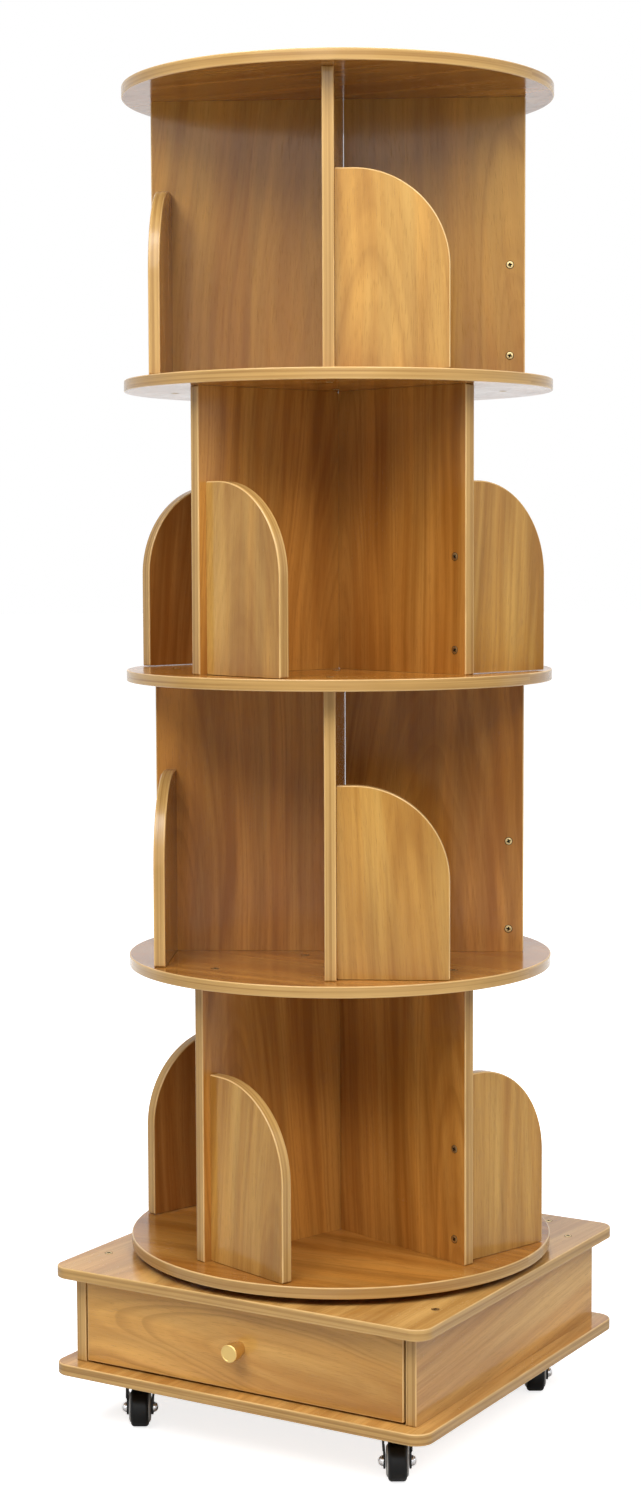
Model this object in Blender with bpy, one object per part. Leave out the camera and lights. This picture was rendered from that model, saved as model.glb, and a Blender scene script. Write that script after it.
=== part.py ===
"""Revolving bookcase: a four-tier round column that turns on a square drawer base with swivel casters.

Run with: blender --background --python part.py
Metres, +Z up. The origin is on the floor, on the column's axis. The drawer faces -Y.
"""

import math

import bmesh
import bpy
from mathutils import Matrix, Vector

# Boards
BOARD = 0.012                          # thickness of every wooden board
EDGE_EASE = 0.0008                     # chamfer along every board edge
SEAT_GAP = 0.0003                      # gap between pieces that touch

# Round column
ROUND_RADIUS = 0.228
ROUND_STEPS = 72
TIER_COUNT = 4
TIER_CLEAR = 0.294                     # free height between two round boards
COLUMN_ANGLE = math.radians(27.5)      # turn of the top tier against the base at rest
TIER_STAGGER = math.radians(45.0)      # turn of each tier against the one above it
SIDES_PER_TIER = 4

# Dividers: four to a tier, their inner edges leave a slit beside the next one's face
DIVIDER_RIM = 0.030                    # from the outer edge to the rim of the round boards
DIVIDER_SLIT = 0.0012
DIVIDER_SHIFT = 0.00035                # of the middle plane off the axis, towards the bookend

# Bookends
BOOKEND_WIDTH = 0.114
BOOKEND_HEIGHT = 0.1965
BOOKEND_SHOULDER = 0.097               # radius of the quarter-round shoulder
BOOKEND_SETBACK = 0.010                # from the divider's outer edge to the bookend
BOOKEND_FLOOR_GAP = 0.0008
SHOULDER_STEPS = 10

# Square base
BASE_SIDE = 0.452
BASE_CORNER = 0.019
BASE_OVERHANG = 0.0195                 # boards past the side panels
BASE_CLEAR = 0.093                     # free height between the two square boards
CORNER_STEPS = 6

# Turntable bearing between the base and the column
TURNTABLE_HEIGHT = 0.0075
TURNTABLE_OUTER = 0.150
TURNTABLE_INNER = 0.105
TURNTABLE_SHEET = 0.0015
RACE_RADIUS = 0.1275
RACE_GROOVE = 0.006                    # width of the ball groove
RACE_DEPTH = 0.0012
RACE_SHOULDER = 0.0035                 # flat rim on each side of the groove
RACE_SLOPE = 0.0018
TURNTABLE_STEPS = 36

# Drawer
DRAWER_REVEAL = 0.002                  # gap round the drawer front
DRAWER_SIDE_PLAY = 0.003
DRAWER_BACK_PLAY = 0.010
DRAWER_HEADROOM = 0.022                # above the drawer box
DRAWER_WALL = 0.010
DRAWER_PANEL = 0.003                   # bottom panel
DRAWER_PANEL_RISE = 0.005              # its height above the lower edge
DRAWER_GROOVE = 0.004

# Knob
KNOB_HEAD_RADIUS = 0.0095
KNOB_NECK_RADIUS = 0.0070
KNOB_LENGTH = 0.0205
KNOB_HEAD_LENGTH = 0.011
KNOB_BEVEL = 0.0012
KNOB_STEPS = 24

# Casters
CASTER_INSET = 0.0685                  # from the board's edge to the swivel axis
CASTER_ANGLE = math.radians(31.0)      # turn of the forks at rest
CASTER_TRAIL = 0.018                   # from the swivel axis to the axle
WHEEL_RADIUS = 0.0205
TREAD_WIDTH = 0.019
TREAD_ROUND = 0.0036
WHEEL_WIDTH = 0.0234                   # over the hub discs
HUB_RADIUS = 0.0162
AXLE_RADIUS = 0.003
WHEEL_STEPS = 28
WHEEL_HEADROOM = 0.011                 # between the wheel and the crown
FORK_SHEET = 0.002
FORK_PLAY = 0.0005                     # between the wheel and each leg
FORK_FLARE = 0.0010                    # joggle of each leg, outwards towards the crown
FORK_FLARE_RISE = 0.010                # height of the joggle above the axle
FORK_EYE = 0.008                       # radius of the leg's round end
FORK_BACK = 0.014                      # crown behind the swivel axis
FORK_FRONT = 0.017                     # crown in front of the swivel axis
NUT_RADIUS = 0.0054
NUT_LENGTH = 0.005
NUT_STEPS = 12
CUP_HEIGHT = 0.003                     # bearing cup between crown and plate
CUP_RADIUS = 0.0135
CUP_WALL = 0.0018
CUP_STEPS = 20
PLATE_SIDE = 0.044
PLATE_SHEET = 0.002
PLATE_CORNER = 0.006
PLATE_HOLE_RADIUS = 0.0024
PLATE_HOLE_SPACING = 0.032

# Heights and places worked out from the sizes above
AXLE_HEIGHT = WHEEL_RADIUS * math.cos(math.pi / WHEEL_STEPS)      # a flat of the tread is on the floor
CROWN_BOTTOM = AXLE_HEIGHT + WHEEL_RADIUS + WHEEL_HEADROOM
CROWN_TOP = CROWN_BOTTOM + FORK_SHEET
PLATE_BOTTOM = CROWN_TOP + SEAT_GAP + CUP_HEIGHT
BASE_BOTTOM = PLATE_BOTTOM + PLATE_SHEET + SEAT_GAP
BOX_FLOOR = BASE_BOTTOM + BOARD
BOX_CEILING = BOX_FLOOR + BASE_CLEAR
BASE_TOP = BOX_CEILING + BOARD
COLUMN_BOTTOM = BASE_TOP + TURNTABLE_HEIGHT
TIER_PITCH = TIER_CLEAR + BOARD
DIVIDER_REACH = ROUND_RADIUS - DIVIDER_RIM                        # from the axis to the outer edge
BOX_HALF = BASE_SIDE / 2 - BASE_OVERHANG
FORK_INNER = WHEEL_WIDTH / 2 + FORK_PLAY
FORK_OUTER = FORK_INNER + FORK_SHEET
CASTER_PLACE = BASE_SIDE / 2 - CASTER_INSET

FLAT_ANGLE = math.radians(40.0)        # edges sharper than this are eased or shaded sharp


def clear_scene():
    """Remove whatever the scene holds."""
    for thing in list(bpy.data.objects):
        bpy.data.objects.remove(thing, do_unlink=True)


def make_material(name, colour, roughness, metallic=0.0):
    """One Principled material."""
    material = bpy.data.materials.new(name)
    material.use_nodes = True
    shader = material.node_tree.nodes["Principled BSDF"]
    shader.inputs["Base Color"].default_value = (*colour, 1.0)
    shader.inputs["Roughness"].default_value = roughness
    shader.inputs["Metallic"].default_value = metallic
    material.diffuse_color = (*colour, 1.0)
    return material


def finish_mesh(bm, name, material):
    """Turn a bmesh into a mesh with outward faces and one material."""
    bmesh.ops.recalc_face_normals(bm, faces=bm.faces)
    mesh = bpy.data.meshes.new(name)
    bm.to_mesh(mesh)
    bm.free()
    mesh.shade_smooth()
    mesh.set_sharp_from_angle(angle=FLAT_ANGLE)
    mesh.materials.append(material)
    return mesh


def ease_edges(bm, width):
    """Chamfer every sharp edge of a board."""
    sharp = [edge for edge in bm.edges if edge.calc_face_angle(0.0) > FLAT_ANGLE]
    bmesh.ops.bevel(bm, geom=sharp, offset=width, segments=1, affect="EDGES", clamp_overlap=True)


def prism(name, outline, height, material, ease=0.0, at=Matrix()):
    """Extrude a closed outline of (x, y) points up from z = 0, then move it by a matrix."""
    bm = bmesh.new()
    face = bm.faces.new([bm.verts.new((x, y, 0.0)) for x, y in outline])
    raised = bmesh.ops.extrude_face_region(bm, geom=[face])["geom"]
    lift = [item for item in raised if isinstance(item, bmesh.types.BMVert)]
    bmesh.ops.translate(bm, verts=lift, vec=(0.0, 0.0, height))
    bmesh.ops.recalc_face_normals(bm, faces=bm.faces)
    if ease:
        ease_edges(bm, ease)
    bmesh.ops.transform(bm, matrix=at, verts=bm.verts)
    return finish_mesh(bm, name, material)


def turned(name, profile, steps, material, closed=False, at=Matrix()):
    """Spin a profile of (radius, z) points round Z. A closed profile makes a ring."""
    bm = bmesh.new()
    points = [bm.verts.new((radius, 0.0, z)) for radius, z in profile]
    lines = [bm.edges.new(pair) for pair in zip(points, points[1:])]
    if closed:
        lines.append(bm.edges.new((points[-1], points[0])))
    bmesh.ops.spin(bm, geom=points + lines, cent=(0, 0, 0), axis=(0, 0, 1),
                   angle=math.tau, steps=steps, use_merge=True)
    bmesh.ops.remove_doubles(bm, verts=bm.verts, dist=1e-6)
    bmesh.ops.transform(bm, matrix=at, verts=bm.verts)
    return finish_mesh(bm, name, material)


def combine(name, first, steps):
    """Join, cut or intersect meshes in turn and return the resulting mesh."""
    body = bpy.data.objects.new(name, first)
    bpy.context.scene.collection.objects.link(body)
    tools = []
    for operation, mesh in steps:
        tool = bpy.data.objects.new(name + "_tool", mesh)
        bpy.context.scene.collection.objects.link(tool)
        tools.append(tool)
        modifier = body.modifiers.new(operation.lower(), "BOOLEAN")
        modifier.operation = operation
        modifier.solver = "EXACT"
        modifier.object = tool
    evaluated = body.evaluated_get(bpy.context.evaluated_depsgraph_get())
    result = bpy.data.meshes.new_from_object(evaluated)
    result.name = name
    result.set_sharp_from_angle(angle=FLAT_ANGLE)
    for thing in [body] + tools:
        bpy.data.objects.remove(thing, do_unlink=True)
    return result


def arc(centre, radius, start, end, steps):
    """Points of a round stretch, both ends included."""
    angles = [start + (end - start) * step / steps for step in range(steps + 1)]
    return [(centre[0] + radius * math.cos(a), centre[1] + radius * math.sin(a)) for a in angles]


def rectangle(x_low, x_high, y_low, y_high):
    """Outline of a rectangle."""
    return [(x_low, y_low), (x_high, y_low), (x_high, y_high), (x_low, y_high)]


def rounded_square(side, radius, steps):
    """Outline of a square with rounded corners, centred on the origin."""
    reach = side / 2 - radius
    outline = []
    for corner in range(4):
        start = corner * math.pi / 2
        middle = start + math.pi / 4
        centre = (math.copysign(reach, math.cos(middle)), math.copysign(reach, math.sin(middle)))
        outline += arc(centre, radius, start, start + math.pi / 2, steps)
    return outline


def circle(radius, steps, centre=(0.0, 0.0)):
    """Outline of a circle."""
    return arc(centre, radius, 0.0, math.tau * (steps - 1) / steps, steps - 1)


def place(name, mesh, parent=None, location=(0, 0, 0), turn=0.0):
    """Put a mesh into the scene as a named piece."""
    piece = bpy.data.objects.new(name, mesh)
    bpy.context.scene.collection.objects.link(piece)
    piece.parent = parent
    piece.location = location
    piece.rotation_euler = (0.0, 0.0, turn)
    return piece


def guide(name, parent=None, location=(0, 0, 0), turn=0.0):
    """An empty that carries pieces and marks a joint's axis."""
    return place(name, None, parent, location, turn)


def across_x(mid_x=0.0):
    """Matrix that stands a shape made along Z along X instead, centred on mid_x."""
    return Matrix.Translation((mid_x, 0.0, 0.0)) @ Matrix.Rotation(math.pi / 2, 4, "Y")


def build_round_boards(column, wood):
    """The floors of the tiers and the top board."""
    disc = prism("round_board", circle(ROUND_RADIUS, ROUND_STEPS), BOARD, wood, EDGE_EASE)
    for level in range(TIER_COUNT + 1):
        name = f"shelf_{level + 1}" if level < TIER_COUNT else "top_board"
        place(name, disc, column, (0, 0, level * TIER_PITCH))


def bookend_outline():
    """Upright board with a quarter-round outer shoulder; x away from the divider, y up."""
    radius = min(BOOKEND_SHOULDER, BOOKEND_WIDTH - BOARD, BOOKEND_HEIGHT - BOARD)
    centre = (BOOKEND_WIDTH - radius, BOOKEND_HEIGHT - radius)
    shoulder = arc(centre, radius, 0.0, math.pi / 2, SHOULDER_STEPS)
    return [(0.0, 0.0), (BOOKEND_WIDTH, 0.0)] + shoulder + [(0.0, BOOKEND_HEIGHT)]


def build_tiers(column, divider_wood, bookend_wood):
    """Four dividers round the axis on each tier, each with its bookend."""
    back = DIVIDER_SHIFT - BOARD / 2
    face = DIVIDER_SHIFT + BOARD / 2
    divider = prism("divider", rectangle(back, face, -DIVIDER_REACH, back - DIVIDER_SLIT),
                    TIER_CLEAR - 2 * SEAT_GAP, divider_wood, EDGE_EASE)
    bookend_place = Matrix.Translation((face + SEAT_GAP, -DIVIDER_REACH + BOOKEND_SETBACK + BOARD, 0.0))
    bookend = prism("bookend", bookend_outline(), BOARD, bookend_wood, EDGE_EASE,
                    at=bookend_place @ Matrix.Rotation(math.pi / 2, 4, "X"))
    for tier in range(TIER_COUNT):
        from_top = TIER_COUNT - 1 - tier
        turn = -TIER_STAGGER * (from_top % 2)
        floor = tier * TIER_PITCH + BOARD
        frame = guide(f"tier{tier + 1}_frame", column, (0, 0, floor), turn)
        for side in range(SIDES_PER_TIER):
            letter = "abcd"[side]
            spin = side * math.tau / SIDES_PER_TIER
            place(f"tier{tier + 1}_divider_{letter}", divider, frame, (0, 0, SEAT_GAP), spin)
            place(f"tier{tier + 1}_bookend_{letter}", bookend, frame, (0, 0, BOOKEND_FLOOR_GAP), spin)


def race_profile():
    """Section of one turntable plate: flange, raised shoulders and the groove for the balls."""
    height = (TURNTABLE_HEIGHT - 3 * SEAT_GAP) / 2
    groove = RACE_GROOVE / 2
    profile = [(TURNTABLE_INNER, 0.0), (TURNTABLE_OUTER, 0.0), (TURNTABLE_OUTER, TURNTABLE_SHEET)]
    for side in (1, -1):
        rise = [(groove + RACE_SHOULDER + RACE_SLOPE, TURNTABLE_SHEET), (groove + RACE_SHOULDER, height),
                (groove, height), (groove * 0.5, height - RACE_DEPTH)]
        stretch = [(RACE_RADIUS + side * out, z) for out, z in rise]
        profile += stretch if side > 0 else stretch[::-1]
    return profile + [(TURNTABLE_INNER, TURNTABLE_SHEET)]


def build_turntable(column, steel):
    """Two ring plates with facing ball grooves, one fixed to the base and one to the column."""
    profile = race_profile()
    lower = turned("turntable_lower", profile, TURNTABLE_STEPS, steel, closed=True)
    place("turntable_lower_plate", lower, None, (0, 0, BASE_TOP + SEAT_GAP))
    mirrored = [(radius, -z) for radius, z in profile]
    upper = turned("turntable_upper", mirrored, TURNTABLE_STEPS, steel, closed=True)
    place("turntable_upper_plate", upper, column, (0, 0, -SEAT_GAP))


def build_base(wood):
    """Two square boards with side and back panels between them."""
    board = prism("base_board", rounded_square(BASE_SIDE, BASE_CORNER, CORNER_STEPS), BOARD, wood, EDGE_EASE)
    place("base_bottom_board", board, None, (0, 0, BASE_BOTTOM))
    place("base_top_board", board, None, (0, 0, BOX_CEILING))
    panel_height = BASE_CLEAR - 2 * SEAT_GAP
    floor = (0, 0, BOX_FLOOR + SEAT_GAP)
    for name, x_low in (("base_left_side", -BOX_HALF), ("base_right_side", BOX_HALF - BOARD)):
        outline = rectangle(x_low, x_low + BOARD, -BOX_HALF, BOX_HALF)
        place(name, prism(name, outline, panel_height, wood, EDGE_EASE), None, floor)
    reach = BOX_HALF - BOARD - SEAT_GAP
    back = prism("base_back", rectangle(-reach, reach, BOX_HALF - BOARD, BOX_HALF), panel_height, wood, EDGE_EASE)
    place("base_back_panel", back, None, floor)


def knob_profile():
    """Turned knob along Z, from its seat at z = 0 to its face."""
    head = KNOB_LENGTH - KNOB_HEAD_LENGTH
    flare = (KNOB_HEAD_RADIUS - KNOB_NECK_RADIUS) / 2
    return [(0.0, 0.0), (KNOB_NECK_RADIUS, 0.0), (KNOB_NECK_RADIUS, head - flare),
            (KNOB_HEAD_RADIUS, head), (KNOB_HEAD_RADIUS, KNOB_LENGTH - KNOB_BEVEL),
            (KNOB_HEAD_RADIUS - KNOB_BEVEL, KNOB_LENGTH), (0.0, KNOB_LENGTH)]


def build_drawer(wood, panel_board, brass):
    """Drawer front, folded box, bottom panel in its groove, and knob."""
    slide = guide("drawer_slide", None, (0, 0, BOX_FLOOR))
    front_half = BOX_HALF - BOARD - DRAWER_REVEAL
    front_height = BASE_CLEAR - 2 * DRAWER_REVEAL
    front = prism("drawer_front", rectangle(-front_half, front_half, -BOX_HALF, -BOX_HALF + BOARD),
                  front_height, wood, EDGE_EASE)
    place("drawer_front", front, slide, (0, 0, DRAWER_REVEAL))

    outer = BOX_HALF - BOARD - DRAWER_SIDE_PLAY
    inner = outer - DRAWER_WALL
    near = -BOX_HALF + BOARD + SEAT_GAP
    far = BOX_HALF - BOARD - DRAWER_BACK_PLAY
    wrap = [(-outer, near), (-inner, near), (-inner, far - DRAWER_WALL), (inner, far - DRAWER_WALL),
            (inner, near), (outer, near), (outer, far), (-outer, far)]
    box = prism("drawer_box_plain", wrap, BASE_CLEAR - DRAWER_HEADROOM - SEAT_GAP, wood)
    groove_half = inner + DRAWER_GROOVE
    groove_far = far - DRAWER_WALL + DRAWER_GROOVE
    groove = prism("drawer_groove", rectangle(-groove_half, groove_half, near - DRAWER_WALL, groove_far),
                   DRAWER_PANEL + 2 * SEAT_GAP, wood, at=Matrix.Translation((0, 0, DRAWER_PANEL_RISE - SEAT_GAP)))
    place("drawer_box", combine("drawer_box", box, [("DIFFERENCE", groove)]), slide, (0, 0, SEAT_GAP))

    panel_half = groove_half - SEAT_GAP
    panel = prism("drawer_bottom", rectangle(-panel_half, panel_half, near, groove_far - SEAT_GAP),
                  DRAWER_PANEL, panel_board)
    place("drawer_bottom", panel, slide, (0, 0, SEAT_GAP + DRAWER_PANEL_RISE))

    knob = turned("drawer_knob", knob_profile(), KNOB_STEPS, brass, at=Matrix.Rotation(math.pi / 2, 4, "X"))
    place("drawer_knob", knob, slide, (0, -BOX_HALF - SEAT_GAP, BASE_CLEAR / 2))


def fork_sheet(steel):
    """Folded sheet of the fork: its front section, cut to its side outline. The axle runs along X."""
    flare_low = AXLE_HEIGHT + FORK_FLARE_RISE
    flare_high = flare_low + 2 * FORK_FLARE
    foot = AXLE_HEIGHT - FORK_EYE * 1.5
    right = [(FORK_OUTER, foot), (FORK_OUTER, flare_low), (FORK_OUTER + FORK_FLARE, flare_high),
             (FORK_OUTER + FORK_FLARE, CROWN_TOP)]
    inside = [(x - FORK_SHEET, z) for x, z in right[:3]] + [(FORK_INNER + FORK_FLARE, CROWN_BOTTOM)]
    left = [(-x, z) for x, z in right[::-1]]
    inside_left = [(-x, z) for x, z in inside]
    section = right + left + inside_left + inside[::-1]
    depth = FORK_FRONT + FORK_BACK + CASTER_TRAIL + 2 * FORK_EYE
    stand = Matrix.Rotation(math.pi / 2, 4, "X")
    folded = prism("fork_folded", section, depth, steel, at=Matrix.Translation((0, depth / 2, 0)) @ stand)

    axle = (-CASTER_TRAIL, AXLE_HEIGHT)
    eye = arc(axle, FORK_EYE, math.radians(-160.0), math.radians(-15.0), 8)
    side = eye + [(FORK_BACK, CROWN_BOTTOM - FORK_SHEET), (FORK_BACK, CROWN_TOP + FORK_SHEET),
                  (-FORK_FRONT, CROWN_TOP + FORK_SHEET), (-FORK_FRONT - FORK_EYE / 2, CROWN_BOTTOM - FORK_EYE)]
    width = 2 * (FORK_OUTER + FORK_FLARE) + 2 * FORK_SHEET
    to_side = Matrix(((0, 0, 1, -width / 2), (1, 0, 0, 0), (0, 1, 0, 0), (0, 0, 0, 1)))
    outline = prism("fork_outline", side, width, steel, at=to_side)
    return combine("fork_sheet", folded, [("INTERSECT", outline)])


def axle_profile():
    """Axle with a domed nut outside each leg, along Z and centred on the wheel."""
    seat = FORK_OUTER - FORK_SHEET / 4
    end = FORK_OUTER + NUT_LENGTH
    half = [(AXLE_RADIUS, seat), (NUT_RADIUS, seat), (NUT_RADIUS, end - NUT_LENGTH * 0.4),
            (NUT_RADIUS * 0.7, end - NUT_LENGTH * 0.1), (0.0, end)]
    return [(radius, -z) for radius, z in half[::-1]] + half


def fork_mesh(steel):
    """Fork with its bearing cup, king rivet and riveted axle."""
    cup_inner = CUP_RADIUS + SEAT_GAP
    cup_outer = cup_inner + CUP_WALL
    sunk = CROWN_TOP - FORK_SHEET / 2
    cup = turned("fork_cup", [(cup_inner, sunk), (cup_outer, sunk), (cup_outer, CROWN_TOP + CUP_HEIGHT * 0.8),
                              (cup_inner, CROWN_TOP + CUP_HEIGHT * 0.8)], CUP_STEPS, steel, closed=True)
    rivet = turned("fork_rivet", [(0.0, CROWN_BOTTOM - FORK_SHEET), (AXLE_RADIUS, CROWN_BOTTOM - FORK_SHEET * 0.7),
                                  (AXLE_RADIUS * 1.4, CROWN_BOTTOM + FORK_SHEET / 2),
                                  (0.0, CROWN_BOTTOM + FORK_SHEET / 2)], NUT_STEPS, steel)
    axle_place = Matrix.Translation((0, -CASTER_TRAIL, AXLE_HEIGHT)) @ across_x()
    axle = turned("fork_axle", axle_profile(), NUT_STEPS, steel, at=axle_place)
    return combine("caster_fork", fork_sheet(steel), [("UNION", cup), ("UNION", rivet), ("UNION", axle)])


def wheel_profile():
    """Section of the wheel along Z: bore, hub disc, tread with rounded shoulders."""
    tread = TREAD_WIDTH / 2
    half = [(AXLE_RADIUS + SEAT_GAP, WHEEL_WIDTH / 2), (HUB_RADIUS * 0.92, WHEEL_WIDTH / 2),
            (HUB_RADIUS, tread), (WHEEL_RADIUS - TREAD_ROUND, tread),
            (WHEEL_RADIUS - TREAD_ROUND * 0.3, tread - TREAD_ROUND * 0.3), (WHEEL_RADIUS, tread - TREAD_ROUND)]
    return half + [(radius, -z) for radius, z in half[::-1]]


def plate_mesh(steel):
    """Mounting plate with screw holes and the boss that sits in the bearing cup."""
    blank = prism("plate_blank", rounded_square(PLATE_SIDE, PLATE_CORNER, 3), PLATE_SHEET, steel)
    boss = turned("plate_boss", [(0.0, -CUP_HEIGHT), (CUP_RADIUS, -CUP_HEIGHT), (CUP_RADIUS, PLATE_SHEET / 2),
                                 (0.0, PLATE_SHEET / 2)], CUP_STEPS, steel)
    cuts = []
    for x in (-1, 1):
        for y in (-1, 1):
            centre = (x * PLATE_HOLE_SPACING / 2, y * PLATE_HOLE_SPACING / 2)
            hole = prism("plate_hole", circle(PLATE_HOLE_RADIUS, 10, centre), 3 * PLATE_SHEET, steel,
                         at=Matrix.Translation((0, 0, -PLATE_SHEET)))
            cuts.append(("DIFFERENCE", hole))
    return combine("caster_plate", blank, [("UNION", boss)] + cuts)


def build_casters(steel, rubber):
    """Four swivel casters under the corners of the bottom board."""
    fork = fork_mesh(steel)
    plate = plate_mesh(steel)
    facet = Matrix.Rotation(math.pi / WHEEL_STEPS, 4, "Z")
    wheel = turned("caster_wheel", wheel_profile(), WHEEL_STEPS, rubber, closed=True, at=across_x() @ facet)
    corners = {"front_left": (-1, -1), "front_right": (1, -1), "back_left": (-1, 1), "back_right": (1, 1)}
    for corner, (x, y) in corners.items():
        spot = (x * CASTER_PLACE, y * CASTER_PLACE, 0.0)
        place(f"caster_{corner}_plate", plate, None, Vector(spot) + Vector((0, 0, PLATE_BOTTOM)))
        swivel = guide(f"caster_{corner}_swivel", None, spot, CASTER_ANGLE)
        place(f"caster_{corner}_fork", fork, swivel)
        place(f"caster_{corner}_wheel", wheel, swivel, (0, -CASTER_TRAIL, AXLE_HEIGHT))


def main():
    clear_scene()
    shelf_wood = make_material("shelf_laminate", (0.46, 0.24, 0.075), 0.35)
    divider_wood = make_material("divider_laminate", (0.42, 0.21, 0.065), 0.35)
    bookend_wood = make_material("bookend_laminate", (0.53, 0.30, 0.105), 0.35)
    base_wood = make_material("base_laminate", (0.47, 0.25, 0.085), 0.35)
    panel_board = make_material("drawer_hardboard", (0.55, 0.40, 0.24), 0.6)
    brass = make_material("knob_brass", (0.72, 0.50, 0.18), 0.3, 1.0)
    bearing_steel = make_material("bearing_steel", (0.08, 0.08, 0.085), 0.4, 1.0)
    caster_steel = make_material("caster_black_steel", (0.02, 0.02, 0.02), 0.35, 0.6)
    caster_rubber = make_material("caster_tread", (0.018, 0.018, 0.018), 0.5)

    column = guide("column_axis", None, (0, 0, COLUMN_BOTTOM), COLUMN_ANGLE)
    build_round_boards(column, shelf_wood)
    build_tiers(column, divider_wood, bookend_wood)
    build_turntable(column, bearing_steel)
    build_base(base_wood)
    build_drawer(base_wood, panel_board, brass)
    build_casters(caster_steel, caster_rubber)


main()
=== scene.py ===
"""Looks of the revolving bookcase: laminate boards, screws, drawer, casters and a white studio stage.

The packed model is the fixed frame, so sizes and places are read from its nodes.
Metres, +Z up, drawer facing -Y.
"""

import math
from collections import namedtuple

import bmesh
import bpy
from mathutils import Matrix, Vector


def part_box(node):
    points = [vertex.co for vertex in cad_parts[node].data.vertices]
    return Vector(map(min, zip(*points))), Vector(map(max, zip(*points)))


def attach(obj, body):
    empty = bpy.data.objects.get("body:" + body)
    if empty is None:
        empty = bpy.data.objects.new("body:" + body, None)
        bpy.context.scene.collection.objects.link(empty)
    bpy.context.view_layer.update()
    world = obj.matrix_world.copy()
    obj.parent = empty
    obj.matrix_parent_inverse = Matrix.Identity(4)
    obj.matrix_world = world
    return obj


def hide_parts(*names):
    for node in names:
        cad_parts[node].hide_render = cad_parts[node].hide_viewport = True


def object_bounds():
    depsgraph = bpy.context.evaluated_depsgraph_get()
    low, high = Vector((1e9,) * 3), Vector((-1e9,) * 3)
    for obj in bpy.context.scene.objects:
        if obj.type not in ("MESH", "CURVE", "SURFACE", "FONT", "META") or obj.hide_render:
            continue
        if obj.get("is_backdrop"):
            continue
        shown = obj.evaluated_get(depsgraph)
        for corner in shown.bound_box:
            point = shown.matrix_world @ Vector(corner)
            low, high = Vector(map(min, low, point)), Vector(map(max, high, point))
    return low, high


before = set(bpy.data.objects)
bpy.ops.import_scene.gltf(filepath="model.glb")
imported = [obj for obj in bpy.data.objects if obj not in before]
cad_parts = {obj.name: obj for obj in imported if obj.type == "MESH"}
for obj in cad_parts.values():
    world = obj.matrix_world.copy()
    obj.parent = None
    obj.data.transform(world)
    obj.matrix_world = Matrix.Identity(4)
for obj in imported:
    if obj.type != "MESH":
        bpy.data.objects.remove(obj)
CAD_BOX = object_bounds()

bl_info = {
    "name": "Revolving bookcase",
    "version": (1, 0, 0),
    "blender": (4, 5, 0),
    "location": "View3D > Sidebar > Bookcase",
    "description": "Laminate boards, hardware and studio stage of a revolving bookcase",
    "category": "Object",
}

TIERS = (1, 2, 3, 4)
SIDES = "abcd"
CORNERS = ("front_left", "front_right", "back_left", "back_right")
UP = (0, 0, 1)

# Distances that count as nothing: between a point and a face, and from the axis of a turned piece.
CLOSE = 1e-5
ON_AXIS = 1e-7

# Kinds of wood: name of the tint, wander of the rings, spread of the tones, depth of the ring lines.
Wood = namedtuple("Wood", "tint swirl contrast lines")
WOODS = {
    "shelf_wood": Wood("shelf_tint", 1.0, 1.6, 0.30),
    "divider_wood": Wood("divider_tint", 1.2, 2.15, 0.36),
    # The top tier's divider wood is a paler, yellower copy of the divider wood: painted light and painted
    # hazy reflection on that tier's walls.
    "top_divider_wood": Wood("top_tint", 1.5, 1.25, 0.25),
    "bookend_wood": Wood("bookend_tint", 1.0, 1.95, 0.12),
    # The bookends' redder wood below is a redder copy of the bookend wood: painted shade for the bookends
    # that stand in shade.
    "red_bookend_wood": Wood("red_tint", 1.0, 1.95, 0.12),
    # The base's and drawer's tints are partly their own paler tone and partly painted light and sheen,
    # raised to stand in for light on the base.
    "base_wood": Wood("base_tint", 1.2, 1.6, 0.30),
    "drawer_front": Wood("drawer_tint", 1.8, 1.5, 0.50),
    "drawer_box": Wood("box_tint", 1.0, 1.3, 0.30),
}

# Kinds of metal: roughness, cycles of the marks per metre, metallic, shade of the tarnish, brightness of
# the rubbed edges, mirror level of a paint.
Metal = namedtuple("Metal", "roughness marks metallic tarnish rub gloss", defaults=(1.0, 0.75, 1.3, 0.5))
METALS = {
    "knob_brass": Metal(0.26, 900.0),
    "screw_zinc": Metal(0.34, 1400.0),
    # The screws' near-black, mirrorless recess metal is painted shade in the driver crosses and round the
    # heads.
    "screw_recess": Metal(0.80, 1400.0, 0.0, gloss=0.0),
    "bearing_steel": Metal(0.38, 300.0),
    "caster_black_steel": Metal(0.30, 700.0, 0.0, 0.8, 3.0, 0.28),
    "wheel_tread": Metal(0.36, 500.0, 0.0, 0.8, 1.6, 0.24),
    "wheel_hub": Metal(0.36, 500.0, 0.0, 0.85, 1.1),
    "caster_chrome": Metal(0.16, 900.0),
}

# Noise layers: cycles per metre on each axis, detail, roughness, levels drawn out to 0 and 1, share.
Layer = namedtuple("Layer", "cycles detail roughness low high share", defaults=(1.0,))
PRINT_LAYERS = (
    Layer((26.0, 2.4, 3.0), 3.0, 0.55, 0.30, 0.70, 0.37),
    Layer((95.0, 1.6, 3.0), 3.0, 0.60, 0.28, 0.72, 0.12),
    Layer((330.0, 3.0, 3.0), 2.0, 0.60, 0.28, 0.72, 0.055),
    Layer((900.0, 12.0, 3.0), 3.0, 0.65, 0.25, 0.75, 0.055),
)
PRINT_CLOUDS = Layer((9.0, 2.6, 3.0), 2.0, 0.50, 0.30, 0.70, 0.14)
PRINT_HUES = Layer((38.0, 2.0, 7.0), 2.0, 0.55, 0.34, 0.68)
PRINT_PORES = Layer((1900.0, 70.0, 1900.0), 1.0, 0.50, 0.60, 0.70)
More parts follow.
